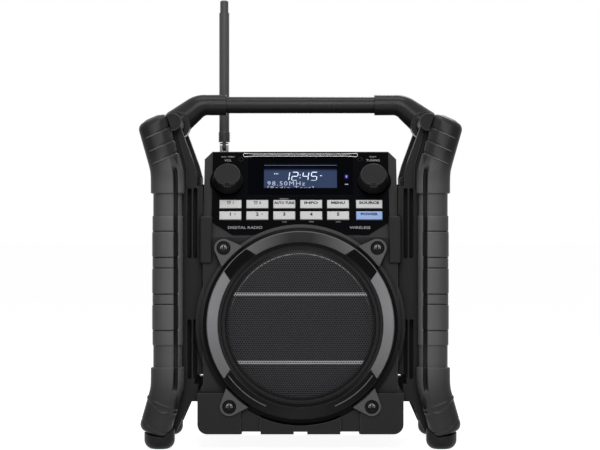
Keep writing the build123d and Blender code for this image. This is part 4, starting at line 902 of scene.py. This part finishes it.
def segment_bar(middle, length, upright, thick=0.8):
    """One bar of a digit: a long hexagon, leaning with its height, with a low closed thickness."""
    half, thin, slant = length / 2, thick / 2, 0.12
    run = np.array([-half, -half + thin, half - thin, half, half - thin, -half + thin])
    cross = np.array([0, thin, thin, 0, -thin, -thin])
    x, y = (cross, run) if upright else (run, cross)
    x, y = x + middle[0], y + middle[1]
    rings = [np.stack([x + slant * y, y, np.full(6, out)], -1) for out in (-1.42, -1.32)]
    return closed_tube(np.stack(rings))


BARS = {"top": (0, 1, 0), "upper_right": (1, 0.5, 1), "lower_right": (1, -0.5, 1), "foot": (0, -1, 0),
        "lower_left": (-1, -0.5, 1), "upper_left": (-1, 0.5, 1), "waist": (0, 0, 0)}
DIGITS = {"1": "upper_right lower_right", "2": "top upper_right waist lower_left foot",
          "4": "upper_left waist upper_right lower_right", "5": "top upper_left waist lower_right foot"}


def digit(character, across, up):
    """A seven-bar digit, its bars set out on a box of one height and width."""
    high, wide = 9.4, 5.4
    bars = []
    for name in DIGITS[character].split():
        side, level, upright = BARS[name]
        length = (high / 2 if upright else wide) - 0.35
        middle = (side * wide / 2, level * high / 2)
        bars.append(moved(segment_bar(middle, length, upright), across, up))
    return bars


clock_bars = []
for character, across in (("1", -13.6), ("2", -5.4), ("4", 5.0), ("5", 13.2)):
    clock_bars += digit(character, across, 70.2)
for up in (1.6, -1.8):
    clock_bars.append(moved(segment_bar((0, 0), 1.3, False, thick=1.2), -0.4, 70.2 + up))
ROWS = (("98.50MHz", 4.9, 36.4, -13.8, 62.0), ("[Radio Text]", 5.0, 44.7, -9.65, 56.2),
        ("FM", 1.6, 3.6, -23.7, 73.0))
for words, tall, wide, across, up in ROWS:
    clock_bars.append(moved(lettering(words, tall, width=wide, gap=1.25), across, up, -1.4))
clock_bars.append(moved(rounded_plate((0, 0), (1.0, 0.35), 0.3, 0, 0.1, edge=0.05), 19.9, 70.9, -1.42))
add_piece("display_segments", clock_bars, SEGMENT, place=on_panel)
line = rounded_plate((0, 82.95), (35.3, 0.3), 0.2, -1.45, -1.3, edge=0.05)
add_piece("display_edge", [line], EDGE_LIGHT, place=on_panel)


def add_mark(name, material, middle, half, top=0.66):
    """A small lit mark printed on the window."""
    plate = rounded_plate(middle, half, min(half) * 0.9, 0.55, top, edge=0.03)
    add_piece(name, [plate], material, place=on_panel)


add_mark("status_lamp", BLUE_LIGHT, (44.6, 68.6), (0.75, 1.4), top=0.70)
add_mark("status_halo", BLUE_HALO, (44.6, 68.6), (2.2, 2.9))
add_mark("status_dash", SEGMENT, (44.6, 59.7), (1.7, 0.4))


# ---- trim over the window
def trim_wires():
    """A long loop of bright wire, whose two sides part towards its ends: a rounded rectangle that grows
    higher towards its ends, with a round wire along it."""
    across, rise = rounded(rounded_outline((8,) * 4, (2, 60, 2, 60)), 55.5, 1.2, 0.9)
    rise = rise * (1 + 0.6 * smooth_step(np.abs(across), 44.0, 55.0))
    return [moved(closed_ring(bent_wire(np.stack([across, 93.0 + rise], -1), 0.42)), out=1.45)]


def eyelets():
    """A small standing ring below each end of the trim: a circle with a round wire along it."""
    rings = [circle((side * 58.0, 87.6), 2.1, 32) for side in (-1, 1)]
    return [moved(closed_ring(bent_wire(ring, 0.55)), out=1.35) for ring in rings]


add_piece("trim_wires", trim_wires(), CHROME, stands_for=["display_trim"], place=on_panel)
add_piece("trim_eyelets", eyelets(), STEEL, stands_for=["display_trim"], place=on_panel)


# ---- print on the keys and the panel
KEY_COLUMNS = [-67.4, -41.5, -15.6, 10.3, 36.2, 66.2]
KEY_FACE = 2.5


def printed_bars(bars, radius):
    """Thin bars, each known by its middle and its half size."""
    return [rounded_plate(middle, half, radius, -0.05, 0.06, edge=0.02) for middle, half in bars]


def clock_icon():
    """A small alarm clock: a thin ring, two hands and two bells."""
    bars = [((0, 0.5), (0.2, 0.6)), ((0.5, 0), (0.5, 0.2)), ((-1.4, 1.5), (0.6, 0.25)),
            ((1.4, 1.5), (0.6, 0.25))]
    return [closed_ring(bent_wire(circle((0, 0), 1.5, 24), 0.24, steps=6)), *printed_bars(bars, 0.1)]


UPPER_ROW, LOWER_ROW = 37.3, 24.4
LEGENDS = {"upper_key_3": "AUTO TUNE", "upper_key_4": "INFO", "upper_key_5": "MENU", "upper_key_6": "SOURCE",
           "power_key": "POWER"}
legends = {name: [lettering(words, 3.0, bold=0.045, width=min(19.5, 3.3 * len(words)))]
           for name, words in LEGENDS.items()}
for number in "12":
    mark = moved(lettering(number, 2.8, bold=0.03), 2.6)
    legends["upper_key_" + number] = [*(moved(shape, -1.6, 0.2) for shape in clock_icon()), mark]
for number in "12345":
    legends["lower_key_" + number] = [lettering(number, 3.9, bold=0.05)]
BAR_OVER_DOT = [((0, 0.3), (0.8, 0.25)), ((0, -0.7), (0.3, 0.3))]
for number in "12":
    legends["lower_key_" + number] += [moved(shape, 4.6) for shape in printed_bars(BAR_OVER_DOT, 0.2)]
for name, shapes in legends.items():
    column = 5 if name == "power_key" else int(name[-1]) - 1
    row = UPPER_ROW if name.startswith("upper") else LOWER_ROW
    shapes = [moved(shape, KEY_COLUMNS[column], row, KEY_FACE) for shape in shapes]
    add_piece(name + "_legend", shapes, INK_DARK,
              body=name + "_cap", place=on_panel)

PANEL_WORDS = [("VOL", 2.5, -70.6, 87.2, 0), ("BASS / TREBLE", 1.5, -70.6, 91.2, 0),
               ("TUNING", 2.5, 70.6, 87.2, 0), ("SELECT", 1.5, 70.6, 91.2, 0),
               ("MEMORY", 1.5, -15.6, 42.6, 0), ("DIGITAL RADIO", 2.9, -53.0, 10.0, 33.0),
               ("WIRELESS", 2.9, 57.0, 10.0, 20.0)]
PANEL_WORDS += [("TONE", 1.3, KEY_COLUMNS[column], 16.6, 0) for column in (2, 3, 4)]
print_shapes = [moved(lettering(words, tall, bold=0.01, width=wide), across, up, 1.03)
                for words, tall, across, up, wide in PANEL_WORDS]
add_piece("panel_print", print_shapes, INK_GREY, place=on_panel)


# ---- studio
def seen_directly(net):
    """1 for the rays that should find white surroundings, and 0 for the rays that only carry light."""
    rays = net.add("LightPath").outputs
    seen = net.math("ADD", rays["Is Camera Ray"], rays["Is Glossy Ray"])
    return net.math("ADD", seen, rays["Is Transmission Ray"], clamp=True)


def add_floor():
    """Pale floor: a large flat square under the feet. It is white as the camera, glossy and transmission rays
    see it, with a soft share of the shadow."""
    material = bpy.data.materials.new("pale floor")
    material.use_nodes = True
    material.node_tree.nodes.clear()
    net = Nodes(material.node_tree)
    plain = net.add("BsdfDiffuse", Color=(0.5, 0.5, 0.5)).outputs[0]
    soft = net.add("BsdfDiffuse", Color=(0.6, 0.6, 0.6)).outputs[0]
    light = net.add("Emission", Color=(1, 1, 1), Strength=0.93).outputs[0]
    both = net.filled("AddShader", {}, soft, light)[0]
    net.add("OutputMaterial", Surface=net.filled("MixShader", {}, seen_directly(net), plain, both)[0])
    mesh = bpy.data.meshes.new("floor")
    reach = 30.0
    corners = [(-reach, -reach, 0), (reach, -reach, 0), (reach, reach, 0), (-reach, reach, 0)]
    mesh.from_pydata(corners, [], [(0, 1, 2, 3)])
    mesh.materials.append(material)
    floor = bpy.data.objects.new("floor", mesh)
    bpy.context.scene.collection.objects.link(floor)


def add_world(strength):
    """White surroundings, dimmer as a lamp than as a background."""
    world = bpy.data.worlds.new("studio")
    bpy.context.scene.world = world
    world.use_nodes = True
    net = Nodes(world.node_tree)
    sky = world.node_tree.nodes["Background"].inputs
    dimmer = net.math("MULTIPLY_ADD", seen_directly(net), 1.0 - strength, strength)
    net.set(sky, Color=(1, 1, 1), Strength=dimmer)


def add_lamp(name, place, aim, size, power):
    """A square soft lamp that looks at a point."""
    lamp_data = bpy.data.lights.new(name, "AREA")
    lamp_data.shape = "RECTANGLE"
    lamp_data.size, lamp_data.size_y = size
    lamp_data.energy = power
    lamp = bpy.data.objects.new(name, lamp_data)
    bpy.context.scene.collection.objects.link(lamp)
    direction = np.array(aim, float) - np.array(place, float)
    length = np.linalg.norm(direction)
    heading = math.atan2(direction[1], direction[0]) - math.pi / 2
    lamp.location = place
    lamp.rotation_euler = (math.acos(-direction[2] / length), 0, heading)


add_floor()
add_world(0.10)
add_lamp("front softbox", (0.0, -1.15, 0.90), (0.0, 0.0, 0.15), (0.35, 0.9), 8.5)
add_lamp("top softbox", (0.0, -0.15, 1.25), (0.0, 0.0, 0.25), (0.7, 0.35), 4.0)
add_lamp("low softbox", (0.0, -1.60, 0.12), (0.0, 0.0, 0.20), (0.5, 0.2), 1.2)
add_lamp("back softbox", (0.30, 1.30, 1.30), (0.0, 0.0, 0.15), (0.6, 0.6), 6.0)

camera_data = bpy.data.cameras.new("camera")
camera_data.lens = 163.6
camera_data.sensor_width = 36.0
camera = bpy.data.objects.new("camera", camera_data)
camera.location = (-0.00045, -2.705, 0.2145)
camera.rotation_euler = (math.pi / 2, 0.0, 0.0)
bpy.context.scene.collection.objects.link(camera)
bpy.context.scene.camera = camera
bpy.context.scene.view_settings.view_transform = "Standard"
